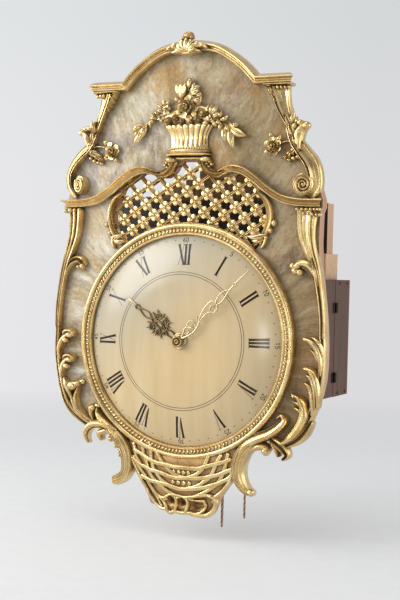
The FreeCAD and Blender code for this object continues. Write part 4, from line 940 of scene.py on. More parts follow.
def dial_marks():
    s = Solid()

    def put(theta, r0, pts):
        a = math.radians(theta)
        return [((r0 + v) * math.sin(a) + u * math.cos(a), (r0 + v) * math.cos(a) - u * math.sin(a), w) for u, v, w in pts]

    for kind, x0, z0, x1, z1 in NUMERALS:
        run = math.hypot(x1 - x0, z1 - z0)
        n = np.array([-(z1 - z0), x1 - x0]) / run
        mid = ((x0 + x1) / 2, (z0 + z1) / 2)
        if kind == "h":
            inlay(s, [(x0, z0, 0.75), (x1, z1, 0.65)], lift=0.18, step=4)
        elif kind == "v":
            inlay(s, [(x0, z0, 4.3), (mid[0] + n[0] * 0.5, mid[1] + n[1] * 0.5, 3.7), (x1, z1, 1.3)], step=4)
        else:
            inlay(s, [(x0, z0, 4.2), (*mid, 3.8), (x1, z1, 4.1)], step=4)
        ends = ((x0, z0, 2.3 if kind == "h" else 3.3),) + (((x1, z1, 3.2),) if kind == "k" else ())
        for x, z, q in ends:
            inlay(s, [(x - n[0] * q, z - n[1] * q, 0.9), (x + n[0] * q, z + n[1] * q, 0.9)], lift=0.2)
    for k in range(60):
        a = 2 * PI * k / 60
        if k % 5:
            x, z = 178.4 * math.sin(a) - 2.0, 178.4 * math.cos(a) + 0.8
            s.blob((x, float(dome(x, z)) + 0.1, z), [[1.25, 0, 0], [0, 0, 1.25], [0, -0.36, 0]], 10, 5)
        else:
            word = str(k or 60)
            hgt, gap = 8.0, 1.2
            ww = len(word) * 0.6 * hgt + (len(word) - 1) * gap
            u = -ww / 2
            for c in word:
                for line in DIGITS[c]:
                    inlay(s, put(6.0 * k, 175.6, [(u + p * hgt, q * hgt, 1.05) for p, q in line]), step=0.8, lift=0.2)
                u += 0.6 * hgt + gap
    for r, w in ((118.3, 0.75), (122.6, 0.75)):
        y = float(dome(r, 0))
        s.lathe([(r - w / 2, y + 0.5), (r + w / 2, y + 0.5), (r + w / 2, y - 0.2), (r - w / 2, y - 0.2)], n=220)
    s.build("dial_marks", INK, "case")


dial_marks()


def bezel():
    s = Solid()
    s.lathe(
        [
            (211, 0.6), (211, -7.0), (210.4, -10.2), (208.8, -13.0), (206.6, -14.8), (204.4, -15.2), (202.4, -14.2), (201.0, -12.2), (200.2, -9.6),
            (199.2, -9.6), (197.0, -9.3), (194.6, -9.5), (193.6, -10.2), (192.9, -11.0), (191.4, -12.2), (189.6, -12.0), (188.4, -10.6), (188.0, -8.6), (188.0, 0.6),
        ],
        n=260,
    )
    n = 172
    for k in range(n):
        a = 2 * PI * k / n + rng.normal(0, 0.0025)
        d = np.array([math.sin(a), 0, math.cos(a)])
        t = np.array([math.cos(a), 0, -math.sin(a)])
        sl = math.radians(24 + rng.normal(0, 3))
        lng, wid = d * math.cos(sl) + t * math.sin(sl), t * math.cos(sl) - d * math.sin(sl)
        s.blob(d * 197.0 + np.array([0, -8.8, 0]), [lng * 4.2, wid * 2.5, np.array([0, -3.4, 0]) - lng * 0.3], 10, 6)
    s.build("bezel_carved", GILT, "case", ["dial_bezel"], "gilt_wood")


bezel()


# ---------------------------------------------------------------- hands
def hand_piece(ang, y_front, y_back):
    """Drawing tools for a pierced hand: points run (across, along, width) from the hub."""
    a = math.radians(ang)
    ca, sa = math.cos(a), math.sin(a)

    def at(p):
        return (p[1] * sa + p[0] * ca, p[1] * ca - p[0] * sa, *p[2:])

    s = Solid()

    def wire(pts, h=None, prof=ROUND, ends="rr", step=0.8):
        band(s, [at(p) for p in pts], (y_back - y_front) if h is None else h, prof, y0=y_back, back=0.0, step=step, ends=ends, taper=0.6)

    def ring(cu, cv, ru, rv, w, a0=0.0, a1=360.0):
        th = np.radians(np.linspace(a0, a1, 40))
        wire([(cu + ru * math.cos(t), cv + rv * math.sin(t), w) for t in th])

    def curl(cu, cv, r0, r1, turns, a0, sense, w0, w1):
        wire([tuple(p) for p in spiral(cu, cv, r0, r1, turns, math.radians(a0), sense, 60, w0, w1)])

    def drop(cu, cv, ru, rv, h=None):
        hh = (y_back - y_front) / 2 if h is None else h / 2
        x, z = at((cu, cv))[:2]
        al = np.array([sa, 0, ca])
        ac = np.array([ca, 0, -sa])
        s.blob((x, (y_front + y_back) / 2, z), [ac * ru, al * rv, np.array([0, -hh, 0])], 14, 8)

    return s, at, wire, ring, curl, drop


s, at, wire, ring, curl, drop = hand_piece(47.3, -32.5, -30.5)
s.lathe([(2.5, -30.5), (7.6, -30.5), (8.2, -31.2), (7.8, -32.2), (6.6, -32.5), (2.5, -32.5)], n=48)
wire([(0, 7, 4.2), (3.0, 15, 3.3), (5.9, 24.7, 3.0), (7.1, 31.4, 3.0), (6.8, 39.3, 3.0), (4.7, 46.3, 2.9), (1.4, 53.1, 2.8), (-2.9, 58.8, 2.7), (-7.3, 68.4, 2.6), (-10.5, 80.2, 2.5), (-11.4, 89.8, 2.4), (-9.9, 97.6, 2.4), (-5.0, 100.6, 2.4), (1.8, 99.4, 2.3), (6.8, 93.8, 2.3), (6.9, 86.3, 2.2), (1.8, 82.8, 2.1), (-3.6, 87.2, 2.0), (-3.5, 93.2, 1.9), (1.2, 93.6, 1.6)])
wire([(4.9, 47.5, 2.4), (1.2, 57.3, 2.3), (-0.2, 66.0, 2.2), (-0.3, 73.8, 2.2), (1.0, 80.0, 2.2), (4.1, 82.8, 2.1)])
wire([(1.6, 80.6, 2.3), (7.2, 78.0, 1.3)])
wire([(-2.9, 100.2, 2.3), (-5.4, 104.0, 2.3), (-7.6, 109.6, 2.3), (-8.7, 116.7, 2.3), (-8.1, 124.2, 2.3), (-5.8, 130.5, 2.4), (-2.2, 136.0, 2.6)])
wire([(0.9, 99.8, 2.3), (2.4, 105.3, 2.3), (2.7, 111.8, 2.3), (1.4, 119.4, 2.3), (-0.5, 127.1, 2.4), (-2.2, 136.0, 2.6)])
wire([(-2.1, 134.0, 2.9), (-3.4, 145.2, 2.5)])
ring(-3.8, 149.0, 2.3, 2.7, 1.8)
wire([(-4.0, 152.4, 2.4), (-4.1, 166.0, 2.2), (-3.4, 183.4, 1.3)])
wire([(6.4, 41.2, 2.5), (0.0, 44.9, 2.5), (-5.8, 46.2, 2.4), (-10.8, 43.4, 2.4), (-12.4, 37.7, 2.3), (-9.6, 32.6, 2.2), (-4.3, 31.7, 2.1), (-1.4, 36.0, 1.9), (-3.7, 39.8, 1.6)])
wire([(7.0, 36.7, 2.5), (0.6, 35.9, 2.5), (-5.0, 33.0, 2.4), (-8.4, 28.1, 2.4), (-6.9, 22.4, 2.3), (-1.9, 20.4, 2.2), (2.2, 23.9, 2.1), (1.4, 28.6, 1.9), (-2.4, 28.2, 1.6)])
wire([(0.2, 8, 2.9), (-2.6, 14.0, 2.6), (-5.2, 19.8, 2.4), (-6.9, 22.4, 2.2)])
wire([(0.2, 54.6, 2.5), (-4.6, 55.6, 2.1), (-8.6, 58.6, 1.0)])
s.build("minute_hand_pierced", BRASS, "minute_arbor", ["minute_hand"], "hand_brass")

s, at, wire, ring, curl, drop = hand_piece(304.4, -26.0, -24.0)
for sg in (-1, 1):
    wire([(sg * 2.6, 12, 4.2), (sg * 4.6, 18, 3.2), (sg * 5.2, 24, 2.9), (sg * 2.0, 30, 2.8), (0, 33, 2.8)])
    wire([(0, 32, 2.8), (sg * 6.0, 34, 2.7), (sg * 9.5, 37, 2.7)])
    curl(sg * 10.6, 42.5, 7.0, 2.0, 1.5, -90 - sg * 20, sg, 2.8, 1.8)
    curl(sg * 11.2, 58.0, 6.6, 1.9, 1.45, 90 + sg * 20, -sg, 2.7, 1.7)
    wire([(0, 34, 2.8), (sg * 3.0, 40, 2.6), (sg * 4.4, 48, 2.6), (sg * 4.2, 56, 2.6), (sg * 2.2, 64, 2.6), (0, 69, 2.7)])
    wire([(sg * 4.2, 58, 2.5), (sg * 6.4, 64, 2.5), (sg * 9.5, 64.6, 2.5)])
    wire([(0, 70, 2.6), (sg * 4.8, 76, 2.4), (sg * 5.0, 84, 2.3), (sg * 2.6, 93, 2.3), (0, 98, 2.6)])
    for a, b in (((15.5, 46), (21.0, 44.5)), ((15.8, 51.5), (21.8, 52.5)), ((15.0, 62.5), (19.5, 67.5)), ((13.0, 37.0), (17.5, 32.0)), ((7.5, 66.0), (10.5, 72.5)), ((6.5, 35.0), (8.5, 28.5))):
        wire([(sg * a[0], a[1], 3.6), (sg * (a[0] * 0.5 + b[0] * 0.5), a[1] * 0.5 + b[1] * 0.5, 2.8), (sg * b[0], b[1], 1.1)])
ring(0, 50.5, 3.4, 8.4, 2.4)
drop(0, 69, 2.6, 3.4)
drop(0, 98, 2.4, 2.8)
ring(0, 103.5, 3.8, 4.2, 2.4)
s.build("hour_hand_pierced", BRONZE, "hour_pipe", ["hour_hand"], "hand_bronze")
s, at, wire, ring, curl, drop = hand_piece(304.4, -26.0, -24.0)
s.lathe([(5.4, -24.0), (13.6, -24.0), (14.4, -24.6), (14.2, -25.6), (13.0, -26.1), (11.8, -25.5), (10.8, -25.6), (9.8, -26.3), (8.4, -26.2), (7.4, -25.6), (6.4, -26.2), (5.4, -26.0)], n=64)
s.build("hour_hand_boss", BOSS, "hour_pipe", (), "hand_brass")
s, at, wire, ring, curl, drop = hand_piece(304.4, -26.0, -24.0)
wire([(0, 107, 3.0), (0, 112, 5.0), (0, 119, 4.6), (0, 131.4, 1.2)], prof=prof_of(lambda u: 1 - 0.85 * np.abs(u), 9))
s.build("hour_hand_tip", BRASS, "hour_pipe", (), "hand_brass")

s = Solid()
s.turned(
    [(0.02, -36.0), (1.3, -36.1), (2.1, -37.4), (2.9, -38.4), (3.7, -38.4), (4.4, -37.3), (4.9, -35.0), (5.8, -34.3), (6.6, -35.0), (7.2, -36.4), (8.0, -36.9), (8.8, -36.5), (9.4, -35.3), (9.5, -33.8), (9.4, -32.5), (0.02, -32.5)],
    n=64,
)
s.build("hand_nut_turned", NUT, "minute_arbor", ["hand_nut"], "hand_brass", sharp=60)


# ---------------------------------------------------------------- mouldings
def arch():
    prof = np.array(
        [(1, 22), (1, 0.6), (9, 0.6), (9, -9), (8.2, -12.5), (6.2, -16), (4.2, -19.2), (3.4, -21.2), (2.2, -22.2), (0.8, -21.8), (0.1, -20.2), (-0.4, -17.6), (-1.6, -15.6), (-3, -15.2), (-4, -16.4), (-5.6, -17), (-7.4, -16), (-8.6, -13.2), (-9, -9), (-9, 0.8), (-6, 0.8), (-6, 22)],
        float,
    )
    d, y = prof[:, 0], prof[:, 1]
    half = smooth([(-26, 521.8), (0, 523), (35, 519.5), (58, 513), (81, 500), (104, 483), (129.5, 457)], 2.2)
    half = half[half[:, 0] >= -0.01]
    T = np.gradient(half, axis=0)
    T /= np.linalg.norm(T, axis=1)[:, None]
    N = np.stack([-T[:, 1], T[:, 0]], 1)
    N[0], half[0] = (0, 1), (0, 523)
    n1 = N[-1]
    mit = (n1 + np.array([0, 1.0])) / (1 + n1[1])
    rings = [np.stack([c[0] + m[0] * d, y, c[1] + m[1] * d], 1) for c, m in zip(half[:-1], N[:-1])]
    rings.append(np.stack([half[-1][0] + mit[0] * d, y, half[-1][1] + mit[1] * d], 1))
    p = np.maximum(0, -y)
    for x in (140.0, 150.0, 160.0, 170.0):
        rings.append(np.stack([np.full(len(d), x), y, 457 + d], 1))
    rings.append(np.stack([179 + p, y, 457 + d], 1))
    rings.append(np.stack([179 + p * 0.5, np.maximum(y, 0.6), 457 + d], 1))
    left = [r * np.array([-1, 1, 1]) for r in rings[:0:-1]]
    s = Solid()
    s.tube(np.stack(left + rings))
    s.build("arch_carved", GILT, "case", ["arch_moulding"], "gilt_wood", sharp=32)


arch()

COR = [(61, 297, 9), (72, 301, 10.8), (87, 304, 12.6), (106, 300.3, 14.4), (129, 286.5, 14.4), (154, 267, 14.4), (181, 251.6, 14.4), (206, 245.6, 14.4), (230, 244, 14.4), (243, 244, 14.4)]
CSC = [(74, 302, 6), (65, 298.0, 10), (55, 296.0, 13), (43.5, 299.5, 15.5), (34, 308.5, 15.5), (30, 318, 14), (32.5, 325, 12)]


def cornice():
    s = Solid()
    prof = np.array(
        [(1, 1.5), (1, -14), (0.97, -17.5), (0.86, -19.6), (0.70, -20.2), (0.56, -19.2), (0.50, -17.6), (0.40, -15.5), (0.18, -12.4), (-0.08, -10.6), (-0.34, -10), (-0.46, -10.6), (-0.52, -12), (-0.66, -13.2), (-0.82, -12.8), (-0.95, -10.8), (-1, -8), (-1, 1.5)],
        float,
    )
    C = smooth(COR, 2.2)
    T = np.gradient(C[:, :2], axis=0)
    T /= np.linalg.norm(T, axis=1)[:, None]
    N = np.stack([-T[:, 1], T[:, 0]], 1)
    rings = []
    for i, (c, n) in enumerate(zip(C, N)):
        f = 0.55 + 0.45 * min(1, i / 12)
        y = np.where(prof[:, 1] < 0, prof[:, 1] * f, prof[:, 1])
        rings.append(np.stack([c[0] + n[0] * prof[:, 0] * c[2] / 2, y, c[1] + n[1] * prof[:, 0] * c[2] / 2], 1))
    p = np.maximum(0, -prof[:, 1])
    zz = 244 + prof[:, 0] * 7.2
    rings.append(np.stack([243 + p * 0.66, prof[:, 1], zz], 1))
    rings.append(np.stack([243 + p * 0.30, np.full(len(p), 1.5), zz], 1))
    R = np.stack(rings)
    s.tube(R)
    s.tube(R * np.array([-1, 1, 1]))
    for pts in (CSC, mirror(CSC)):
        band(s, pts, [9, 13, 16, 16, 15], RIB, step=1.4)
        e = pts[-1]
        g = 1 if e[0] > 0 else -1
        s.blob((e[0] + g * 1.5, -8, e[1] - 3.5), [[10.5, 0, 0], [0, 0, 6.0], [0, -9, 0]], 18, 10)
        for dx, dz, r in ((4, -11, 4.6), (10, -8, 4.0), (13.5, -12.5, 4.2), (8.5, -16.5, 4.0)):
            s.blob((e[0] + g * dx, -3, e[1] + dz), [[r, 0, 0], [0, 0, r * 0.9], [0, -7.5, 0]], 12, 8)
    band(s, [(-29, 324.3, 6.6), (0, 324.3, 6.6), (29, 324.3, 6.6)], 9, ROUND, back=1.5, step=4)
    s.build("cornice_carved", GILT, "case", ["cornice_moulding"], "gilt_wood", sharp=34)


cornice()

# ---------------------------------------------------------------- sound trellis
WIN_R = [(128, 160), (146, 180), (152, 200), (156, 220), (154, 237), (147, 251), (141, 260), (139, 268), (133, 277), (126.9, 283.7), (104.7, 297.1), (87, 300.5), (73, 297.6), (62, 293.7), (55, 291),
         (47, 291.5), (39, 295.5), (31, 303), (26, 312), (24, 320), (0, 320)]
WINDOW = [(204.9 * math.sin(math.radians(a)), 204.9 * math.cos(math.radians(a))) for a in range(-32, 33, 4)] + WIN_R + mirror(WIN_R[:-1])[::-1]
LAT_O, LAT_A, LAT_B = np.array([-90.05, 243.49]), np.array([21.96, 13.84]), np.array([17.21, -18.75])


def trellis():
    s = Solid()
    for d, e, h in ((LAT_A, LAT_B, 6.6), (LAT_B, LAT_A, 5.8)):
        for i in range(-14, 15):
            t = np.arange(-16, 16, 0.04)
            P = LAT_O + i * e + t[:, None] * d
            idx = np.flatnonzero(inside(WINDOW, P[:, 0], P[:, 1]))
            if len(idx) < 6:
                continue
            for run in np.split(idx, np.flatnonzero(np.diff(idx) > 1) + 1):
                if len(run) < 8:
                    continue
                a, b = t[run[0]] - 0.10, t[run[-1]] + 0.10
                ts = np.linspace(a, b, max(4, int((b - a) * 4)))
                band(s, [(*(LAT_O + i * e + q * d), 7.4) for q in ts], h, REED2, y0=10.0, back=2.0, step=4.0, ends="pp")
    hor, ver = LAT_A + LAT_B, LAT_A - LAT_B
    hor, ver = hor / np.linalg.norm(hor), ver / np.linalg.norm(ver)
    for i in range(-12, 13):
        for j in range(-12, 13):
            c = LAT_O + i * LAT_A + j * LAT_B
            q = 5.0
            if not inside(WINDOW, [c[0] - q, c[0] + q, c[0], c[0]], [c[1], c[1], c[1] - q, c[1] + q]).all():
                continue
            for w in (hor, ver, -hor, -ver):
                u = np.array([w[0], 0, w[1]])
                v = np.array([-w[1], 0, w[0]])
                s.blob(np.array([c[0], 6.6, c[1]]) + u * 5.8, [v * 5.0, u * 5.5, np.array([0, -0.7, 0])], 14, 8)
            s.blob((c[0], 3.4, c[1]), [[2.0, 0, 0], [0, 0, 2.0], [0, -1.1, 0]], 10, 6)
    s.build("trellis_carved", GILT, "case", ["sound_trellis"], "gilt_wood")


trellis()

# ---------------------------------------------------------------- carved ornaments
def section(us, vs, n=33):
    """A profile through the given (across, height) points, softened a little."""

    def f(u):
        v = np.zeros_like(u)
        for d in (-0.05, -0.025, 0.0, 0.025, 0.05):
            v += np.interp(np.clip(u + d, -1, 1), us, vs) / 5
        return v

    return prof_of(f, n)


def flip(prof):
    P = np.asarray(prof).copy()
    P[:, 0] *= -1
    return P[::-1]


FLUTE_R = section([-1, -0.86, -0.68, -0.48, -0.28, 0.1, 0.6, 0.86, 1], [0.40, 0.95, 0.58, 1.0, 0.72, 0.48, 0.46, 0.60, 0.34])
FLUTE_L = flip(FLUTE_R)
PIL_R = section([-1, -0.92, -0.80, -0.45, -0.05, 0.20, 0.42, 0.52, 0.64, 0.84, 0.93, 1], [0.40, 0.95, 0.74, 0.62, 0.70, 0.88, 0.92, 0.62, 0.90, 0.84, 0.58, 0.28])
PIL_L = section([-1, -0.80, -0.56, -0.44, -0.16, 0.10, 0.26, 0.52, 0.84, 1], [0.45, 0.92, 0.80, 0.25, 0.95, 0.85, 0.25, 0.90, 0.98, 0.35])
TWIN = section([-1, -0.75, -0.40, -0.10, 0.10, 0.40, 0.75, 1], [0.35, 0.85, 1.0, 0.45, 0.42, 0.86, 0.70, 0.30])
LEAFY = section([-1, -0.78, -0.5, -0.15, 0.08, 0.2, 0.34, 0.7, 1], [0.26, 0.66, 0.92, 1.0, 0.96, 0.84, 0.88, 0.62, 0.22])
KEEL = section([-1, -0.60, -0.10, 0.02, 0.14, 0.60, 1], [0.22, 0.52, 0.92, 1.0, 0.90, 0.50, 0.20])
SWELL = section([-1, -0.78, -0.55, -0.20, 0.20, 0.52, 0.64, 0.80, 1], [0.28, 0.70, 0.86, 1.0, 0.94, 0.72, 0.42, 0.66, 0.22])
GROOVES = section([-1, -0.82, -0.64, -0.44, -0.24, -0.04, 0.16, 0.36, 0.56, 0.78, 1], [0.30, 0.76, 0.64, 0.95, 0.80, 1.0, 0.82, 0.95, 0.70, 0.74, 0.26])


def knob(s, x, z, rx, rz, ry, y, nu=16, nv=10):
    s.blob((x, y, z), [[rx, 0, 0], [0, 0, rz], [0, -ry, 0]], nu, nv)


def volute(s, cx, cz, rx, rz, h, a0, sense, cant, turns=2.3, w0=6.2, w1=3.2, back=10.0):
    """A scroll's end: a drum whose tipped face carries a winding ridge and an eye."""
    k = 44
    ph = np.linspace(0, 2 * PI, k, endpoint=False)
    R = np.array(
        [
            np.stack([cx + rx * f * np.cos(ph), np.full(k, y), cz + rz * f * np.sin(ph)], 1)
            for f, y in ((1.0, back), (1.0, -h * 0.5), (1.0, -h + 5.6), (0.985, -h + 4.4), (0.93, -h + 3.5), (0.5, -h + 4.2))
        ]
    )
    R[..., 1] += np.where(R[..., 1] < back - 1, cant * (R[..., 0] - cx), 0)
    s.tube(R)
    t = np.linspace(0, 1, 64)
    a = a0 + sense * 2 * PI * turns * t
    f = 0.88 - 0.70 * t**0.85
    pts = np.stack([cx + rx * f * np.cos(a), cz + rz * f * np.sin(a), (w0 + (w1 - w0) * t)], 1)
    band(s, pts, 5.6, ROUND, y0=-h + 5.0, back=2.0, step=1.2, lean=lambda x, z: cant * (x - cx))
    s.blob((cx, -h + 2.0, cz), [[3.0 * rx / rz, cant * 3.0 * rx / rz, 0], [0, 0, 3.2], [0, -3.2, 0]], 14, 8)


def blossom(s, x, z, rx, rz, h, y0=0.0, n=6, spin=0.3):
    """An open carved flower with curled petals, two rings and an eye."""
    s.blob((x, y0 - h * 0.15, z), [[rx * 0.62, 0, 0], [0, 0, rz * 0.62], [0, -h * 0.42, 0]], 18, 9)
    for ring, (m, rad, wa, wb, yy, tilt) in enumerate(((n, 0.64, 0.36, 0.36, 0.50, -14), (n - 1, 0.34, 0.26, 0.26, 0.72, 34))):
        for i in range(m):
            a = spin + 2 * PI * (i + 0.5 * ring) / m + rng.normal(0, 0.10)
            g = 1 + rng.normal(0, 0.10)
            d = np.array([math.cos(a) * rx, 0, math.sin(a) * rz])
            u = d / np.linalg.norm(d)
            t = np.array([-u[2], 0, u[0]])
            tt = math.radians(tilt) + rng.normal(0, 0.12)
            nrm = np.array([0, -1.0, 0]) * math.cos(tt) - u * math.sin(tt)
            rad_v = np.cross(nrm, t)
            r = (rx + rz) / 2
            s.blob(np.array([x, y0 - h * yy, z]) + d * rad * g, [t * r * wa, rad_v * r * wb, nrm * r * 0.13], 12, 7, cup=0.9)
    s.blob((x, y0 - h * 0.86, z), [[rx * 0.17, 0, 0], [0, 0, rz * 0.17], [0, -h * 0.18, 0]], 10, 6)


def crest():
    s = Solid()
    y = -22.0
    # fan of flutes from the lower edge of the moulding
    for a, L, w in ((-66, 17, 4.6), (-42, 21, 5.4), (-19, 24, 5.6), (2, 25, 5.8), (24, 23.5, 5.4), (46, 20, 5.0), (68, 16, 4.4)):
        a = math.radians(a)
        b = np.array([0.0 + 5.0 * math.sin(a), y - 3.0, 507.5])
        d = np.array([math.sin(a), -0.10, math.cos(a)])
        t = np.array([math.cos(a), 0, -math.sin(a)])
        s.blob(b + d * L * 0.52, [t * w, d * L * 0.54, np.array([0, -6.6, 0])], 14, 11)
    band(s, [(-16, 508.5, 5), (0, 506.5, 7), (16, 507.5, 5)], 6, ROUND, y0=y, back=4, step=1.4)
    # acanthus running out along the moulding on both sides
    for g in (-1, 1):
        band(s, [(g * 10, 516.5, 11), (g * 20, 520.0, 13), (g * 29, 519.0, 10), (g * 38, 515.0, 5)], [7, 8, 7, 5], LEAFY, y0=y, back=4, step=1.4)
        band(s, [(g * 9, 510.5, 7), (g * 18, 511.0, 8), (g * 27, 508.5, 4)], [6, 6.5, 5], ROUND, y0=y, back=4, step=1.4)
        knob(s, g * 22.0, 521.5, 5.0, 4.4, 6.0, y - 5)
        knob(s, g * 31.5, 518.0, 3.8, 3.4, 5.0, y - 4)
    s.build("crest_carved", GILT, "case", ["crest_shell"], "gilt_wood")
    # worn knob on top, the red ground showing
    s = Solid()
    knob(s, 4.5, 537.0, 10.5, 6.6, 8.0, y - 3.0, 22, 12)
    knob(s, -3.5, 533.0, 5.0, 4.2, 6.0, y - 4.5)
    knob(s, 12.0, 533.0, 5.0, 4.2, 6.0, y - 4.5)
    s.build("crest_knob", BOLE, "case", (), "gilt_wood")


crest()


def basket():
    s = Solid()
    zz = np.array([333.5, 336, 339, 342, 344.5, 350, 356, 362, 367, 371, 374.5, 377.5, 380, 380.8])
    ww = np.array([39.5, 40.0, 38.5, 36.6, 36.2, 35.2, 35.0, 35.8, 37.4, 39.6, 42.4, 45.2, 46.4, 44.0])
    dd = np.array([16.5, 18.0, 17.4, 15.6, 15.2, 14.4, 14.2, 15.0, 16.4, 18.0, 19.6, 20.8, 20.6, 17.0])
    ph = np.linspace(0.0, PI, 181)
    rings = []
    for z, w, d in zip(zz, ww, dd):
        k = np.clip(min((z - 343) / 4, 1.0), 0, 1)
        rip = 1 + k * (0.15 * np.abs(np.sin(11 * ph)) ** 0.6 - 0.115)
        lip = 1.8 * np.abs(np.sin(11 * ph)) * np.clip((z - 372) / 6, 0, 1)
        f = np.stack([-w * np.cos(ph) * rip, -d * np.sin(ph) ** 0.8 * rip - 0.5, z + lip], 1)
        rings.append(np.vstack([f, [[w, 1.5, z], [-w, 1.5, z]]]))
    s.tube(np.array(rings))
    for i in range(23):
        a = PI * (i + 0.5) / 23
        s.blob((-38.2 * math.cos(a), -17.4 * math.sin(a) ** 0.8 - 0.8, 340.4), [[1.9, 0, 0], [0, 0, 1.7], [0, -1.7, 0]], 9, 6)
    # moulded foot
    prof = [(327.9, 0.90), (329.0, 0.985), (330.6, 1.0), (331.8, 0.96), (332.4, 0.90), (333.4, 0.93), (334.4, 0.96), (335.4, 0.92), (336.0, 0.86)]
    rings = []
    for z, q in prof:
        f = np.stack([-45.0 * np.cos(ph[::3]) * q, -23.5 * np.sin(ph[::3]) ** 0.55 * q, np.full(61, z)], 1)
        rings.append(np.vstack([f, [[45.0 * q, 1.5, z], [-45.0 * q, 1.5, z]]]))
    s.tube(np.array(rings))
    s.build("basket_carved", GILT, "case", ["flower_basket"], "gilt_wood", sharp=44)


basket()


def bouquet():
    s = Solid()
    # mass behind the flowers
    for x, z, rx, rz, ry in ((0, 400, 40, 22, 9), (-30, 396, 28, 16, 8), (32, 396, 26, 15, 8), (2, 430, 20, 22, 7)):
        s.blob((x, 0, z), [[rx, 0, 0], [0, 0, rz], [0, -ry, 0]], 22, 10)
    # great rose
    rose(s, 0.5, 412.5, 18.5, 27, rings=((9, 0.80, -22, 0.27, 0.26), (8, 0.62, 16, 0.26, 0.25), (6, 0.44, 40, 0.24, 0.23), (5, 0.27, 56, 0.20, 0.20), (3, 0.11, 68, 0.14, 0.16)))
    for b, t, w in (((10, -12, 420), (23, -15, 428), 9), ((-10, -12, 406), (-22, -14, 401), 8), ((-9, -12, 420), (-20, -13, 427), 7), ((12, -12, 404), (22, -15, 412), 7)):
        blade(s, b, t, w, 5)
    # half-open flower, upper left
    s.blob((-14.2, -6, 440), [[8.6, 0, 0.8], [0, 0, 12.0], [0, -8.5, 0]], 16, 11)
    for dx, dz, tilt in ((-6.4, 4.0, -18), (0.2, 5.0, 0), (6.2, 4.6, 16)):
        a = math.radians(tilt)
        s.blob((-14.2 + dx, -12.5, 441.5 + dz), [[4.4 * math.cos(a), 0, -4.4 * math.sin(a)], [8.4 * math.sin(a), 0, 8.4 * math.cos(a)], [0, -2.2, 0]], 12, 9, cup=0.7)
    # bud and leaves at the top
    s.blob((0.2, -9, 456), [[4.9, 0, -0.8], [2.0, 0, 9.8], [0, -5.4, 0]], 14, 12)
    blade(s, (-1, -6, 441), (-4.5, -9, 456), 6, 4)
    blade(s, (0, -8, 437), (20.5, -9, 450.5), 11, 6, bow=-2)
    blade(s, (3, -10, 437), (19.5, -12, 443.0), 10, 6, bow=2)
    blade(s, (12, -8, 431), (24.5, -9, 437), 8, 5)
    blade(s, (6, -10, 443), (12.5, -12, 457), 6, 4)
    blade(s, (-3, -8, 446), (-9.5, -10, 459), 6, 4)
    blade(s, (-22, -5, 424), (-30, -6, 434), 7, 4)
    # left group
    blossom(s, -45.2, 411, 9.5, 9.5, 15, n=5)
    for b, t, w in (((-46, -6, 417), (-52, -10, 430), 8), ((-50, -6, 414), (-63, -9, 421), 8), ((-50, -8, 409), (-64, -10, 411), 8), ((-42, -6, 418), (-41, -9, 429), 7)):
        blade(s, b, t, w, 5)
    blossom(s, -57.0, 398.5, 8.6, 8.0, 13, n=5, spin=0.9)
    rose(s, -40.0, 391.0, 9.5, 17, spin=0.5)
    rose(s, -25.5, 395.0, 8.5, 17, spin=0.2)
    rose(s, -13.0, 389.0, 8.0, 16, spin=0.7)
    # right group
    rose(s, 28.6, 403.0, 11.0, 18, spin=0.4)
    for b, t, w in (((43, -8, 397), (58.5, -13, 414.5), 10), ((43, -9, 398), (47.0, -13, 416), 8), ((46, -9, 394), (61.5, -11, 400.5), 8), ((38, -8, 408), (41, -11, 417), 6)):
        blade(s, b, t, w, 6)
    blossom(s, 42.5, 392.5, 9.0, 8.0, 15, n=5)
    rose(s, 20.5, 390.0, 8.4, 16, spin=1.0)
    rose(s, 6.0, 388.0, 7.6, 15, spin=0.1)
    knob(s, 51.0, 383.0, 7.4, 5.8, 8, -4)
    knob(s, 34.0, 384.5, 6.4, 4.8, 8, -8)
    # garlands
    band(s, [(-56, 399, 5), (-64, 397, 5), (-75, 392.6, 4.6), (-87, 385.6, 4.2), (-94, 380, 3.6)], 8, ROUND, back=1)
    for b, t, w, bow in (
        ((-58, -6, 402), (-70, -9, 409), 8, 1.0), ((-66, -7, 399), (-76, -10, 405), 7, 1.0), ((-74, -7, 392), (-76, -10, 379), 7, 0), ((-62, -6, 396), (-79, -9, 397.5), 9, 1.5), ((-68, -7, 394), (-81, -10, 386.5), 8, -1), ((-84, -6, 386), (-93.0, -9, 362.5), 14, 2), ((-92, -6, 385), (-109.0, -9, 352.5), 15, -3),
        ((-90, -6, 384), (-112.5, -9, 372), 12, 4), ((-97, -8, 378), (-107, -11, 362), 7, 0),
    ):
        blade(s, b, t, w, 7, bow=bow, notch=0)
    band(s, [(48, 398, 5), (56, 393.5, 5), (64, 386.4, 4.6), (72, 380.4, 4.4), (82, 380.5, 3.6)], 8, ROUND, back=1)
    for b, t, w, bow in (
        ((58, -7, 394), (66, -10, 404), 8, 1.0), ((64, -7, 388), (78, -10, 396), 8, 1.0), ((66, -7, 384), (60, -10, 371), 8, 0), ((84, -7, 381), (98, -10, 380), 8, 1), ((55, -8, 392), (66, -11, 381), 8, 1.5), ((60, -6, 392), (74, -9, 389), 7, 1), ((72, -6, 380), (72.5, -9, 352.0), 14, 2.5), ((78, -6, 383), (112.0, -9, 360.5), 15, 5),
        ((82, -7, 378), (88.8, -10, 339.5), 15, 3), ((76, -7, 380), (80, -10, 366), 7, 0),
    ):
        blade(s, b, t, w, 7, bow=bow)
    s.build("bouquet_carved", GILT, "case", ["flower_bouquet"], "gilt_wood")


bouquet()


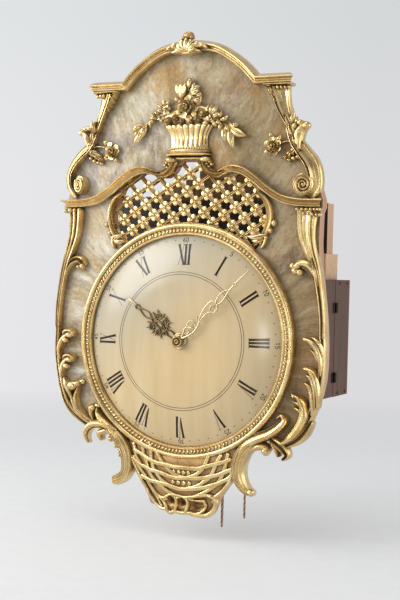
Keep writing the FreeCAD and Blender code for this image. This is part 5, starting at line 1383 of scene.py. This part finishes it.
def brackets():
    # right: inner edge ridged, the broad outer face falling back
    s = Solid()
    C = 0.45
    band(s, [(145, 447.0, 6), (168, 447.2, 6.4), (192, 447.0, 6)], 17, ROUND, back=8)
    for x in (169.5, 176.0, 182.5, 188.5):
        knob(s, x, 441.2, 3.0, 3.4, 5.0, -12 + (x - 169) * 0.25, 12, 8)
    leaf(s, [(146, 446, 8), (153, 441, 15), (160, 432, 15), (165, 421, 9), (167.5, 412, 3)], 17, lobes=4, cut=0.38, cant=0.15, back=6)
    band(s, [(170, 444, 34), (173, 430, 29), (179, 409, 23), (187, 390, 17), (195, 374, 12)], 16, FLUTE_R, back=4, cant=0.30, ends="pr")
    leaf(s, [(187, 394, 6), (191, 383, 15), (197, 369, 19), (203, 353, 15), (209, 339, 6)], 18, lobes=3, cut=0.22, cant=0.25, back=8)
    band(s, [(210, 333, 11), (206, 350, 18), (208.5, 365, 20), (217, 375.5, 15)], [15, 17, 19, 17], SWELL, back=5, cant=0.12, step=1.4)
    knob(s, 223.0, 374.5, 8.2, 7.0, 9, -10)
    knob(s, 212.0, 379.5, 6.6, 5.6, 8, -10)
    knob(s, 202.0, 374.0, 6.0, 6.0, 8, -10)
    blade(s, (196, -6, 372), (200.5, -11, 397.5), 10, 7, bow=-2)
    blade(s, (203, -6, 374), (206.5, -9, 391), 7, 5)
    band(s, [(194, 372, 14), (203.5, 350, 19), (218, 331, 22.5), (232.5, 312, 24), (240, 288, 22), (240, 268, 19), (233, 256, 15)], [15, 17, 18, 18, 17, 15, 13], FLUTE_R, back=5, cant=0.30)
    volute(s, 223.0, 274.5, 16.0, 19.0, 23, math.radians(35), -1, C)
    leaf(s, [(215, 333, 6), (207, 334.5, 13), (197, 330, 16), (188, 323.5, 11), (181.5, 319, 4)], 15, lobes=4, cut=0.42, sweep=0.6)
    for x, z, r in ((207, 322.5, 3.6), (199, 320.5, 4.2), (191, 317.5, 3.6)):
        knob(s, x, z, r * 1.2, r, 6, -5, 12, 8)
    band(s, [(204, 346, 5), (191, 349.5, 4), (176, 347, 4)], 8, ROUND, back=1)
    rose(s, 162.0, 342.0, 16.5, 16, spin=0.3, rings=((8, 0.66, 4, 0.33, 0.30), (7, 0.46, 30, 0.29, 0.27), (5, 0.27, 52, 0.23, 0.23), (3, 0.10, 66, 0.16, 0.16)))
    blade(s, (170, -6, 350), (176.5, -9, 359), 8, 5)
    blade(s, (160, -6, 356), (154.5, -8, 365), 7, 4)
    blade(s, (156, -6, 336), (145.5, -8, 329), 8, 5)
    s.build("bracket_right_carved", GILT, "case", ["upper_bracket_right"], "gilt_wood")
    # left
    s = Solid()
    band(s, [(-192, 447.0, 6), (-168, 447.2, 6.4), (-145, 447.0, 6)], 17, ROUND, back=8)
    for x, r in ((-187.0, 4.4), (-179.0, 4.6), (-171.5, 3.4)):
        knob(s, x, 440.8, r, 4.2, 6, -11 + (-171 - x) * 0.3, 12, 8)
    leaf(s, [(-146, 446, 8), (-151, 441, 13), (-157, 432, 14), (-162, 421, 9), (-164, 412, 3)], 18, lobes=4, cut=0.38, cant=-0.15, back=6)
    band(s, [(-169, 444, 31), (-171, 432, 26), (-176, 415, 21), (-182, 397, 17), (-187, 379, 13)], 16, FLUTE_L, back=12, cant=-C, ends="pr")
    leaf(s, [(-188, 392, 6), (-191, 380, 13), (-194, 366, 16), (-198, 352, 14), (-204, 340, 6)], 18, lobes=3, cut=0.22, cant=-0.2, back=8)
    band(s, [(-198, 338, 10), (-202, 352, 16), (-207.5, 366, 18), (-214.5, 376, 13)], [14, 16, 18, 16], flip(SWELL), back=8, cant=-0.12, step=1.4)
    knob(s, -217.5, 375.0, 7.6, 6.6, 8.5, -9)
    knob(s, -202.0, 382.0, 6.4, 5.6, 8, -9)
    knob(s, -210.0, 381.0, 6.2, 5.4, 8, -9)
    blade(s, (-198, -6, 372), (-197.8, -11, 397.5), 10, 7, bow=2)
    band(s, [(-191, 371, 13), (-202, 350, 18), (-221, 333, 19), (-237, 314, 18), (-245, 293, 17), (-243, 274, 15), (-233, 261, 13)], [15, 17, 18, 18, 17, 15, 13], FLUTE_L, back=14, cant=-C)
    volute(s, -217.8, 279.0, 13.2, 17.4, 21, math.radians(150), 1, -C)
    leaf(s, [(-216, 336, 6), (-206, 340, 13), (-195, 337, 16), (-184, 330, 13), (-175, 322, 5)], 15, lobes=4, cut=0.42, sweep=0.6)
    for x, z, r in ((-200, 327.5, 3.6), (-192, 322.5, 4.2), (-184, 319.5, 4.0), (-177, 318, 3.2)):
        knob(s, x, z, r * 1.2, r, 6, -5, 12, 8)
    band(s, [(-199, 346, 5), (-187, 349.0, 4), (-170, 347, 4)], 8, ROUND, back=1)
    rose(s, -155.5, 339.0, 15.5, 16, spin=0.8, rings=((8, 0.66, 4, 0.33, 0.30), (7, 0.46, 30, 0.29, 0.27), (5, 0.27, 52, 0.23, 0.23), (3, 0.10, 66, 0.16, 0.16)))
    blade(s, (-150, -6, 328), (-143.5, -8, 319), 8, 5)
    blade(s, (-163, -6, 331), (-171, -8, 324), 8, 5)
    blade(s, (-165, -6, 350), (-172.5, -8, 361), 9, 5)
    s.build("bracket_left_carved", GILT, "case", ["upper_bracket_left"], "gilt_wood")


brackets()


def trellis_frames():
    s = Solid()
    # right: a double-edged rocaille band, then the leaf at its foot
    band(s, [(134, 263, 6), (148, 252.5, 11), (157, 236.5, 13), (158.6, 217.5, 13), (153.5, 199, 12), (144.5, 183, 9)], 10.5, CHANNEL, back=2, step=1.4)
    for x, z, r in ((166.0, 210.0, 5.0), (160.0, 197, 4.6), (152, 185, 4.0)):
        knob(s, x, z, r, r * 1.35, 7, -3, 12, 8)
    blade(s, (153, -6, 190), (119.5, -9, 186.5), 11, 7, bow=-3)
    blade(s, (150, -6, 183), (127.0, -8, 178.5), 9, 6, bow=-2)
    band(s, [(151, 186, 7), (150, 176, 8), (145, 168, 5)], 9, ROUND, back=2)
    # left: a smooth band with a few knobs outside and two curled leaves below
    band(s, [(-134, 263, 5), (-148, 252.5, 9), (-157, 236.5, 9.5), (-158.4, 217.5, 10), (-153, 198, 10), (-144, 182, 9)], 10.5, SWELL, back=2, step=1.4)
    for x, z, r in ((-164.0, 206, 4.6), (-157, 191, 4.4)):
        knob(s, x, z, r, r * 1.2, 7, -3, 12, 8)
    blade(s, (-149, -6, 186), (-127.0, -9, 188.5), 10, 7, bow=3)
    blade(s, (-151, -6, 179), (-123.0, -9, 176.0), 10, 7, bow=3)
    band(s, [(-150, 184, 7), (-151, 174, 9), (-147, 165, 6)], 9, ROUND, back=2)
    s.build("trellis_frame_carved", GILT, "case", ["trellis_frame"], "gilt_wood")


trellis_frames()


def pilasters():
    # right
    s = Solid()
    for i, x in enumerate((211.5, 219.5, 227.5, 235.0, 242.0, 248.0)):
        knob(s, x, 233.0, 4.6, 3.8, 8, -9 + 0.25 * i, 14, 8)
        knob(s, x + 3.0, 226.6 - 0.6 * i, 3.8, 4.0, 8, -8 + 0.3 * i, 14, 8)
    band(s, [(229, 231, 36), (227.5, 212, 32), (229, 187, 27), (235.5, 162, 21), (244.5, 137, 16), (251.5, 106, 13), (256.6, 74, 11.6), (259.6, 46, 11), (260.2, 18, 10.4)], [15, 15, 15, 14.5, 14, 13.5, 13, 13, 13], PIL_R, back=4, cant=0.30, ends="pr")
    band(s, [(240, 150, 6), (246, 130, 12), (252, 104, 12.5), (256.8, 74, 11.8), (259.6, 46, 11.2), (260.2, 17, 10.6)], [14, 16, 16, 15.5, 15, 14.5], TWIN, back=4, cant=0.22)
    band(s, [(250, 104, 8), (243.5, 124, 15), (232.5, 137.5, 19), (219.5, 141.0, 19), (210.0, 135, 14)], [12, 16, 18, 19, 17], SWELL, back=2, step=1.4)
    for x, z, r in ((209.5, 129.0, 7.2), (218.0, 126.0, 6.2), (205.0, 137.0, 6.0), (213.5, 137.0, 6.0)):
        knob(s, x, z, r, r * 1.05, 8, -10, 14, 8)
    s.build("pilaster_right_carved", GILT, "case", ["side_pilaster_right"], "gilt_wood")
    # left
    s = Solid()
    for x, r, z in ((-248.5, 6.2, 231.0), (-239.0, 6.6, 231.8), (-229.0, 5.0, 232.0), (-219.0, 4.6, 232.5)):
        knob(s, x, z, r, 4.8, 9, -8, 16, 9)
    band(s, [(-230, 231, 34), (-229.5, 212, 31), (-231.5, 187, 27), (-238.5, 162, 22), (-247, 137, 17.5), (-254, 106, 15), (-259, 74, 13.4), (-262, 46, 12.6), (-262.6, 18, 11.6)], [15, 15, 15, 14.5, 14, 13.5, 13, 13, 13], PIL_L, back=12, cant=-0.30, ends="pr")
    band(s, [(-237, 166, 9), (-246, 140, 15), (-254, 106, 14), (-259, 74, 13.2), (-262, 46, 12.4), (-262.6, 17, 11.4)], [14, 16, 16, 15.5, 15, 14.5], TWIN, back=8, cant=-0.25)
    band(s, [(-250, 106, 6), (-243, 126, 11), (-232, 138.5, 15), (-219, 141.5, 16), (-210.5, 134, 13)], [12, 15, 17, 18, 16], TWIN, back=2, step=1.4)
    for x, z, r in ((-212, 128.5, 5.6), (-219, 127.5, 4.2)):
        knob(s, x, z, r, r * 1.1, 8, -8, 14, 8)
    s.build("pilaster_left_carved", GILT, "case", ["side_pilaster_left"], "gilt_wood")


pilasters()


def leaf_scrolls():
    L = flip(LEAFY)
    # left
    s = Solid()
    band(s, [(-262.4, 26, 10), (-263.2, 6, 11), (-263.8, -14, 12), (-263.2, -33, 12.5), (-260.2, -56, 13), (-256.4, -78, 14), (-249.5, -104, 15), (-239.5, -127, 16), (-223, -145, 16), (-202, -159, 13)], 13, flip(TWIN), back=12, cant=-0.22)
    band(s, [(-243.4, -0.1, 13.8), (-251.7, -9.5, 15.6), (-257.2, -19.6, 14.3), (-259.7, -30.5, 10.6), (-256.4, -43.6, 6.0)], [17, 18, 17, 15, 11], L, back=2, step=1.3)
    band(s, [(-241.7, -45.0, 13.8), (-248.5, -55.2, 15.6), (-252.3, -65.8, 13.8), (-252.5, -76.5, 10.1), (-247.2, -89.1, 5.5)], [17, 18, 17, 15, 11], L, back=2, step=1.3)
    band(s, [(-247.9, -2.0, 4.1), (-245.5, 5.3, 7.8), (-238.6, 8.6, 10.1), (-230.0, 6.4, 10.1), (-227.4, 0.6, 6.9)], [14, 19, 21, 20, 16], L, back=2, step=1.3)
    knob(s, -234.9, 1.1, 8.3, 6.2, 9, -11, 16, 10)
    knob(s, -229.0, 3.9, 5.1, 5.4, 8, -9, 16, 10)
    band(s, [(-246.7, -48.1, 4.1), (-244.4, -40.7, 7.8), (-237.4, -37.3, 10.1), (-228.9, -39.4, 10.1), (-226.2, -45.3, 6.9)], [14, 19, 21, 20, 16], L, back=2, step=1.3)
    knob(s, -233.7, -44.8, 8.3, 6.2, 9, -11, 16, 10)
    knob(s, -227.8, -41.9, 5.1, 5.4, 8, -9, 16, 10)
    knob(s, -242.7, -9.1, 6.2, 5.6, 8, -12, 16, 10)
    knob(s, -239.4, -57.3, 6.9, 5.8, 8, -12, 16, 10)
    knob(s, -227.0, -93.4, 11.0, 9.5, 10, -9, 16, 10)
    knob(s, -218.6, -89.5, 8.3, 6.6, 9, -7, 16, 10)
    knob(s, -211.2, -86.0, 7.4, 5.8, 6, -2, 16, 10)
    band(s, [(-246.3, -81.3, 6.9), (-240.5, -93.8, 17.0), (-235.2, -104.2, 13.8), (-232.5, -113.9, 7.8)], [13, 17, 17, 13], L, back=2, step=1.3)
    band(s, [(-214.5, -93.3, 5.5), (-217.7, -105.2, 9.2), (-219.4, -118.1, 10.6), (-211.5, -135.9, 10.6), (-192.7, -151.6, 10.1), (-179.3, -158.2, 6.9)], [14, 18, 19, 19, 18, 14], L, back=2, step=1.3)
    band(s, [(-231.2, -106.1, 6.0), (-226.8, -119.1, 12.0), (-218.4, -135.1, 13.8), (-205.2, -148.7, 13.3), (-189.6, -159.0, 11.0)], [13, 16, 17, 17, 15], L, back=2, step=1.3)
    band(s, [(-237.8, -121.1, 2.3), (-232.6, -129.3, 8.3), (-218.7, -145.8, 10.1), (-199.4, -159.8, 9.2)], [9, 12, 13, 12], TWIN, back=6, step=1.3)
    band(s, [(-186.0, -126.9, 5.1), (-186.3, -133.7, 11.5), (-185.1, -142.1, 12.0), (-182.4, -151.7, 9.2)], [14, 18, 18, 14], L, back=2, step=1.3)
    knob(s, -184.9, -132.4, 7.8, 6.6, 8, -8, 16, 10)
    knob(s, -176.2, -127.9, 7.8, 5.0, 6, -2, 16, 10)
    band(s, [(-173.6, -133.2, 6.0), (-172.4, -141.6, 12.9), (-163.8, -152.4, 17.0), (-150.0, -161.1, 16.6), (-133.3, -167.8, 10.6)], [14, 18, 20, 20, 16], L, back=2, step=1.3)
    band(s, [(-192, -157, 9), (-175, -158, 11), (-158, -163, 8)], [13, 15, 14], ROUND, back=2, step=1.3)
    s.build("leaf_scrolls_left_carved", GILT, "case", ["leaf_scrolls_left"], "gilt_wood")
    # right
    s = Solid()
    band(s, [(260.2, 26, 10.5), (260.6, 10, 10.5), (260.8, -4, 11), (260.4, -31, 11), (258.2, -58, 12), (254.0, -82, 13), (247.0, -104, 14), (236.5, -126, 15), (221, -147, 15), (202, -163, 11)], 13, TWIN, back=4, cant=0.18)
    for pts, h in (
        ([(259, -46, 7), (257.5, -22, 13), (251.5, -2, 17.5), (241.0, 8.5, 14.5), (228.8, 14.0, 7)], [13, 17, 19, 19, 16]),
        ([(261.5, -20, 7), (259.0, 0, 11), (252.8, 10.0, 11), (243.5, 16.5, 5)], [12, 16, 17, 15]),
        ([(258, -34, 7), (250.5, -14, 10), (241.0, -5.0, 5)], [13, 16, 13]),
        ([(254.5, -100, 8), (254.0, -73, 14), (248.5, -51, 17), (240.0, -40.0, 13.5), (230.5, -36.0, 6)], [13, 17, 19, 18, 15]),
        ([(249.5, -100, 8), (248.5, -71, 12), (243.5, -55.0, 12), (235.0, -47.5, 5)], [13, 17, 17, 15]),
        ([(245, -113, 9), (244.5, -84, 13), (240.0, -68.5, 12), (232.0, -61.0, 5)], [13, 17, 17, 15]),
        ([(193, -167, 11), (208, -154.5, 19), (220, -141, 22), (230.5, -116, 22), (229, -100, 19), (222.5, -89.5, 14), (210.0, -81.5, 6)], [13, 18, 20, 21, 20, 19, 16]),
        ([(228.5, -106, 6), (221.5, -97.0, 9), (212.0, -94.0, 4)], [15, 18, 14]),
        ([(229.5, -117, 6), (222.0, -107.5, 9), (213.0, -103.5, 4)], [15, 18, 14]),
    ):
        band(s, pts, h, LEAFY, back=2, step=1.4)
    knob(s, 231.0, 13.0, 5.0, 4.2, 7, -9, 12, 8)
    knob(s, 233.5, -36.8, 5.0, 4.2, 7, -9, 12, 8)
    knob(s, 213.5, -84.0, 5.0, 4.2, 7, -11, 12, 8)
    band(s, [(202, -170, 9), (221.5, -158, 16), (233.5, -145, 17), (243.5, -129.5, 10)], [12, 15, 16, 14], TWIN, back=6, step=1.4)
    s.build("leaf_scrolls_right_carved", GILT, "case", ["leaf_scrolls_right"], "gilt_wood")


leaf_scrolls()


def bottom_scrolls():
    # left
    s = Solid()
    band(s, [(-130, -176, 9), (-146, -165, 18), (-166, -160.5, 20), (-184, -163.5, 18), (-194, -172.5, 14.5), (-196.5, -183, 10), (-191.5, -196, 4)], [15, 19, 20, 20, 19, 17, 12], SWELL, back=4, step=1.4)
    band(s, [(-142, -171, 9), (-157, -172.5, 14), (-167, -178.0, 14), (-165, -187.5, 8)], [14, 17, 17, 14], ROUND, back=4, step=1.4)
    band(s, [(-152, -163, 8), (-138.5, -173, 21), (-122.5, -188.5, 25), (-112, -207.5, 25), (-109, -226, 23), (-111, -242, 21), (-119.5, -254, 21), (-130.5, -260, 20), (-137.5, -261.5, 17)], [15, 19, 20, 20, 19, 18, 17, 16, 13], GROOVES, back=8, step=1.6, ends="rp")
    for x, z, r in ((-146.5, -187.0, 4.4), (-135.5, -198.5, 3.6), (-126.0, -214.0, 3.4)):
        knob(s, x, z, r * 1.3, r * 1.3, 7, -3, 12, 8)
    s.build("bottom_scroll_left_carved", GILT, "case", ["bottom_scroll_left"], "gilt_wood")
    # right
    s = Solid()
    band(s, [(111, -200, 11), (125, -175, 20), (148.5, -161, 22), (170, -151, 21), (187, -138, 18), (196, -126.5, 14), (190.5, -119.5, 10), (184, -123.5, 6)], [15, 19, 20, 20, 20, 19, 18, 14], SWELL, back=4, step=1.4)
    band(s, [(165, -158, 9), (183, -167.0, 16), (196, -176.5, 16.5), (202, -187, 12), (195.5, -194.0, 7)], [13, 17, 18, 17, 14], TWIN, back=4, step=1.4)
    band(s, [(169, -161, 6), (179, -173, 12), (185.5, -188.5, 6)], [12, 15, 13], LEAFY, back=4, step=1.2)
    band(s, [(136, -183, 8), (151.5, -175.5, 15), (163.5, -178.5, 14.5), (162, -187.5, 8)], [13, 16, 16, 14], ROUND, back=4, step=1.4)
    knob(s, 162.0, -182.5, 6.6, 6.4, 8, -9)
    band(s, [(154, -159, 9), (136, -171.5, 22), (121, -187, 25), (112.5, -206, 26), (111, -224, 25), (116, -241, 21), (127.5, -254.5, 16), (136, -259, 11)], [14, 18, 20, 20, 19, 18, 16, 13], GROOVES, back=8, step=1.6)
    knob(s, 136.5, -257.0, 7.0, 6.4, 8, -7)
    s.build("bottom_scroll_right_carved", GILT, "case", ["bottom_scroll_right"], "gilt_wood")


bottom_scrolls()

# ---------------------------------------------------------------- basketwork apron
LOW = np.array([(-107, -214), (-98, -230), (-90, -241), (-72, -265), (-57, -289), (-47, -302), (-36, -304.5), (-24, -305), (-16, -309), (-8, -305.5), (6, -307.5), (18, -307), (31, -311), (45, -311.5), (56, -308.5), (66, -299), (70.5, -284), (72, -275), (90, -252.5), (99, -238), (107, -217)], float)
HOLLOW = [(-15.0, -284.0, 6.0, 6.5, 11.0), (7.5, -286.0, 6.0, 6.0, 11.0), (31.5, -291.5, 8.5, 8.0, 13.0), (44.0, -289.5, 7.0, 5.0, 6.0)]


def apron_y(x, z):
    """Front of the apron's ground at x, z."""
    x, z = np.asarray(x, float), np.asarray(z, float)
    W = np.interp(-z, [190, 216, 240, 264, 288, 303, 312], [118, 108, 93, 77, 63, 54, 48])
    u = np.clip(np.abs(x - 1.5) / W, 0, 1)
    f = np.interp(-z, [196, 215, 268, 295, 312], [0.75, 1.0, 1.0, 0.85, 0.55])
    y = -(3.2 + 10.8 * (1 - u**2.2) * f)
    for hx, hz, a, b, d in HOLLOW:
        y = y + d * np.exp(-(((x - hx) / a) ** 2) - ((z - hz) / b) ** 2)
    return y


STRAP = section([-1, -0.82, -0.5, 0.0, 0.5, 0.82, 1], [0.30, 0.80, 0.97, 1.0, 0.95, 0.76, 0.28])


def apron():
    g = Solid()
    xs = np.linspace(-106.5, 106.5, 143)
    t = np.linspace(0, 1, 60)
    rings = []
    for x in xs:
        zt, zb = -math.sqrt(209.0**2 - x * x), np.interp(x, LOW[:, 0], LOW[:, 1])
        z = zt + (zb - zt) * t
        y = apron_y(np.full(60, x), z)
        rings.append(np.vstack([np.stack([np.full(60, x), y, z], 1), [[x, 1.5, zb], [x, 1.5, zt]]]))
    g.tube(np.array(rings))
    g.build("apron_ground", BOLE, "case", (), "gilt_wood", sharp=50)

    s = Solid()
    STRAPS = [
        [(-93.5, -201.1), (-77.6, -207.6), (-61.8, -215), (-45, -219.9), (-24.4, -221.7), (-10.1, -224), (10.2, -223.8), (27.9, -224), (41.2, -222.8), (47.2, -220.4), (59.3, -216.1), (73.3, -211.6), (86.3, -207.6), (97, -203)],
        [(-97, -218), (-88.7, -222.5), (-79.2, -227.6), (-68.6, -230.3), (-58.1, -234), (-44.6, -235.5), (-32.2, -238), (-19.8, -241.4), (-4.5, -243.1), (12.7, -241.9), (36.5, -240.6), (51.8, -238), (63.9, -234.5), (73.9, -232), (83.8, -227.6), (95.7, -221.9), (102.6, -219.4)],
        [(-77, -248), (-68.1, -250.6), (-55.5, -254), (-40, -255.2), (-25.6, -256.6), (-11.2, -259.7), (1.1, -262.1), (13.2, -261.8), (33.9, -259.3), (51.2, -255.6), (64.3, -250.6), (76.3, -246.6), (84.2, -242.2), (94.1, -236.7), (98, -231.7)],
        [(-41.3, -206.7), (-32.8, -217), (-24.3, -225.3), (-13.9, -233.5), (-3.6, -238.9), (8.6, -241.2)],
        [(-57.9, -202.7), (-55, -217.1), (-52.1, -227.9), (-44.6, -238.2), (-35, -248.3), (-23.5, -255.4), (-11.2, -259.5)],
        [(-75.8, -195.9), (-72.3, -209.5), (-66.8, -220), (-62.3, -232.5), (-55.8, -243.9), (-44.1, -254.7), (-33.7, -261), (-21.1, -268.9), (-8.8, -273.1)],
        [(-90, -222), (-84.3, -230.9), (-77.9, -237.7), (-68.2, -247.8), (-60.5, -260.9), (-52, -270.2), (-45.6, -276.9), (-35.1, -282.3), (-24.8, -283)],
        [(54, -207.3), (50.2, -217.8), (43.3, -226.8), (33.3, -235.1), (21.1, -240), (8.7, -242.3)],
        [(76.1, -203.5), (72.3, -211.2), (67.6, -221.7), (63.8, -231.3), (57.9, -239.2), (49.9, -245.5), (41.9, -251.9), (28.8, -257.8), (9.3, -261.8)],
        [(90.2, -205), (87.6, -218.1), (83.9, -228.5), (80.1, -237.1), (74.3, -246.8), (64.4, -255.2), (52.5, -263.8), (42.4, -269.4), (24.1, -275)],
        [(-93, -200), (-90, -211), (-83, -221), (-77, -228)],
    ]
    for k, pts in enumerate(STRAPS):
        if k >= 3:
            (xa, za), (xb, zb) = pts[0], pts[1]
            pts = [(xa + (xa - xb) * 0.8, za + (za - zb) * 0.8)] + pts
        band(s, [(x, z, 8.6 if k < 3 else 7.8) for x, z in pts], 5.6 if k < 3 else 4.6, STRAP, back=1.5, step=2.0, lean=apron_y)
    # rolled edges, the lip of the rocaille and its foot
    for pts, w, h in (
        ([(-101, -214), (-95, -226), (-87.3, -238.5), (-78.5, -254.4), (-68.7, -267.3), (-62.2, -278.6), (-52.5, -288.7), (-44, -297), (-34.6, -301.5)], 8.0, 6.0),
        ([(103, -214), (99.7, -222.4), (98, -233.5), (91.4, -247.9), (82.7, -258.9), (74.8, -267), (68.9, -272.2), (65.1, -280.9)], 8.0, 6.0),
        ([(-8.8, -273.1), (11.7, -276.3), (29.2, -274), (44.5, -270.6), (60.8, -270.7), (65.9, -274.4)], 8.0, 7.0),
        ([(60.0, -270.5), (66.0, -273), (70.2, -281), (67.5, -292.6), (59.6, -301.8), (47.5, -307.0), (35.2, -306.3), (24.0, -304.0)], 10.0, 8.5),
        ([(-34.6, -301.5), (-24.3, -302.2), (-16, -307.4), (-7.9, -303.6), (2.3, -305), (12.4, -304.5), (24, -303)], 8.0, 6.5),
        ([(-48.5, -273), (-43.5, -281.5), (-39.1, -288.3), (-33.8, -296.1)], 6.0, 5.5),
        ([(-34, -283), (-27, -291), (-24, -301)], 7.5, 6.5), ([(-26, -280.5), (-15, -275.0), (-4, -279.5)], 7.0, 6.5), ([(-4, -279), (-2.5, -290), (-6.5, -302)], 7.0, 7.0),
        ([(-3, -280), (7, -277.0), (18, -281)], 7.0, 6.5), ([(18.5, -281), (19.0, -292), (14.5, -303)], 7.5, 7.5), ([(23, -279), (36, -281.5), (50, -279.5)], 6.0, 6.0), ([(49, -281), (51, -291), (44, -301), (33, -304)], 8.0, 7.0),
    ):
        band(s, [(x, z, w) for x, z in pts], h, ROUND, back=3.0, step=1.8, lean=lambda x, z: np.minimum(apron_y(x, z), -4.0))
    for z, xx in ((-233.0, (-9.5, 0.5, 10.0, 19.5)), (-251.5, (-10.5, 0.0, 11.0, 21.5))):
        for x in xx:
            s.blob((x, float(apron_y(x, z)) - 0.3, z), [[4.2, 0, 0], [0, 0, 5.0], [0, -2.4, 0]], 12, 8)
    s.build("apron_straps", GILT, "case", ["apron_basketwork"], "gilt_wood")


apron()

# ---------------------------------------------------------------- finishes of the plain pieces
PLAIN = {
    "facade_board": MARBLE,
    "case_back": CASE, "case_left_side": CASE, "case_right_side": CASE, "side_door": CASE, "case_top": CASE, "case_bottom": CASE,
    "door_hinges": IRON, "door_hinge_leaves": IRON, "hanger_plate": IRON, "case_fasteners": IRON,
    "front_plate": MOVE, "back_plate": MOVE, "organ_bearings": MOVE, "key_rail": MOVE, "key_1": MOVE, "key_2": MOVE, "key_3": MOVE, "key_4": MOVE,
    "great_wheel": GEAR, "centre_wheel": GEAR, "third_wheel": GEAR, "escape_wheel": GEAR, "cannon_pinion": GEAR, "minute_wheel": GEAR, "hour_wheel": GEAR,
    "barrel_wheel": GEAR, "crank_wheel": GEAR, "fly": GEAR, "pendulum": GEAR,
    "anchor": STEEL,
    "music_barrel": ORGAN, "flute_pipes": PIPES, "bellows_lower_board": ORGAN, "bellows_upper_board": ORGAN,
    "wind_chest": CHEST,
}
for name, ob in NODES.items():
    mat = PLAIN.get(name, GILT)
    ob.data.materials.clear()
    ob.data.materials.append(mat)


# ---------------------------------------------------------------- bellows
def bellows():
    s = Solid()
    x0, x1, y0, y1 = -203.0, -120.0, 53.0, 186.0
    m = 13
    rings = []
    for i in range(m):
        t = i / (m - 1)
        z = -77.0 + 17.0 * t
        o = 0.6 + 4.2 * abs(math.sin(PI * t * 3))
        cs = []
        n = 10
        for a, b in (((x0 - o, y0 - o), (x1 + o, y0 - o)), ((x1 + o, y0 - o), (x1 + o, y1)), ((x1 + o, y1), (x0 - o, y1)), ((x0 - o, y1), (x0 - o, y0 - o))):
            for q in range(n):
                f = q / n
                cs.append((a[0] + (b[0] - a[0]) * f, a[1] + (b[1] - a[1]) * f, z))
        rings.append(cs)
    s.tube(np.array(rings))
    ob = s.build("bellows_folds", LEATHER, None, ["bellows_leather"], "bellows_leather", sharp=60)
    a, b = row(np.array([[-160.0, 120.0, -76.6], [-160.0, 120.0, -60.4]]))
    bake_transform(ob)


bellows()


# ---------------------------------------------------------------- cords
GOING = [(53, 57, -97.05), (52.69, 57.74, -141), (52.16, 59.03, -190), (51.17, 61.44, -243), (49.57, 65.32, -292), (46.90, 71.79, -332.5), (42.89, 81.50, -343),
         (37.11, 95.50, -343), (33.10, 105.21, -332.5), (30.43, 111.68, -292), (28.83, 115.56, -243), (27.84, 117.97, -190), (27.31, 119.26, -141), (27, 120, -97.05)]
MUSIC = [(58, 151, -97.05), (57.75, 151.55, -142), (57.30, 152.55, -192), (56.53, 154.28, -245), (55.17, 157.29, -295), (52.92, 162.31, -333), (49.44, 170.07, -341.5),
         (44.56, 180.93, -341.5), (41.08, 188.69, -333), (38.83, 193.71, -295), (37.47, 196.72, -245), (36.70, 198.45, -192), (36.25, 199.45, -142), (36, 200, -97.05)]


def spun(name, route, node):
    """A cord of three strands laid round the line of its route."""
    cu = bpy.data.curves.new(name + "_line", "CURVE")
    cu.dimensions = "3D"
    sp = cu.splines.new("NURBS")
    sp.points.add(len(route) - 1)
    for p, q in zip(sp.points, route):
        p.co = (*row(q), 1.0)
    sp.order_u = 3
    sp.use_endpoint_u = True
    sp.resolution_u = 24
    line = bpy.data.objects.new(name + "_line", cu)
    bpy.context.scene.collection.objects.link(line)
    me = bpy.data.meshes.new_from_object(line)
    path = np.array([v.co[:] for v in me.vertices])
    bpy.data.objects.remove(line)
    bpy.data.curves.remove(cu)
    bpy.data.meshes.remove(me)
    P = even(path * 1000.0, 0.9, 3)
    n = len(P)
    T = np.gradient(P, axis=0)
    T /= np.linalg.norm(T, axis=1)[:, None]
    A = np.zeros_like(P)
    A[0] = np.cross(T[0], (1, 0, 0))
    A[0] /= np.linalg.norm(A[0])
    for i in range(1, n):
        A[i] = A[i - 1] - T[i] * (A[i - 1] @ T[i])
        A[i] /= np.linalg.norm(A[i])
    B = np.cross(T, A)
    L = np.r_[0, np.cumsum(np.linalg.norm(np.diff(P, axis=0), axis=1))]
    s = Solid()
    s.n = 0
    ph = np.linspace(0, 2 * PI, 8, endpoint=False)
    off = np.array([0.0, 220.0, 135.0])
    for k in range(3):
        w = 2 * PI * (L / 11.0 + k / 3)
        c = P + 0.98 * (np.cos(w)[:, None] * A + np.sin(w)[:, None] * B)
        R = c[:, None, :] + 1.02 * (np.cos(ph)[None, :, None] * A[:, None, :] + np.sin(ph)[None, :, None] * B[:, None, :])
        s.tube(R + off)
    ob = s.build(name, TWINE, "case", [node], "cord_fibre")
    ob.data.materials.append(PALE)
    half = len(ob.data.polygons) // 3
    for f in ob.data.polygons[:half]:
        f.material_index = 1
    return ob


spun("going_cord_spun", GOING, "going_cord")
spun("music_cord_spun", MUSIC, "music_cord")
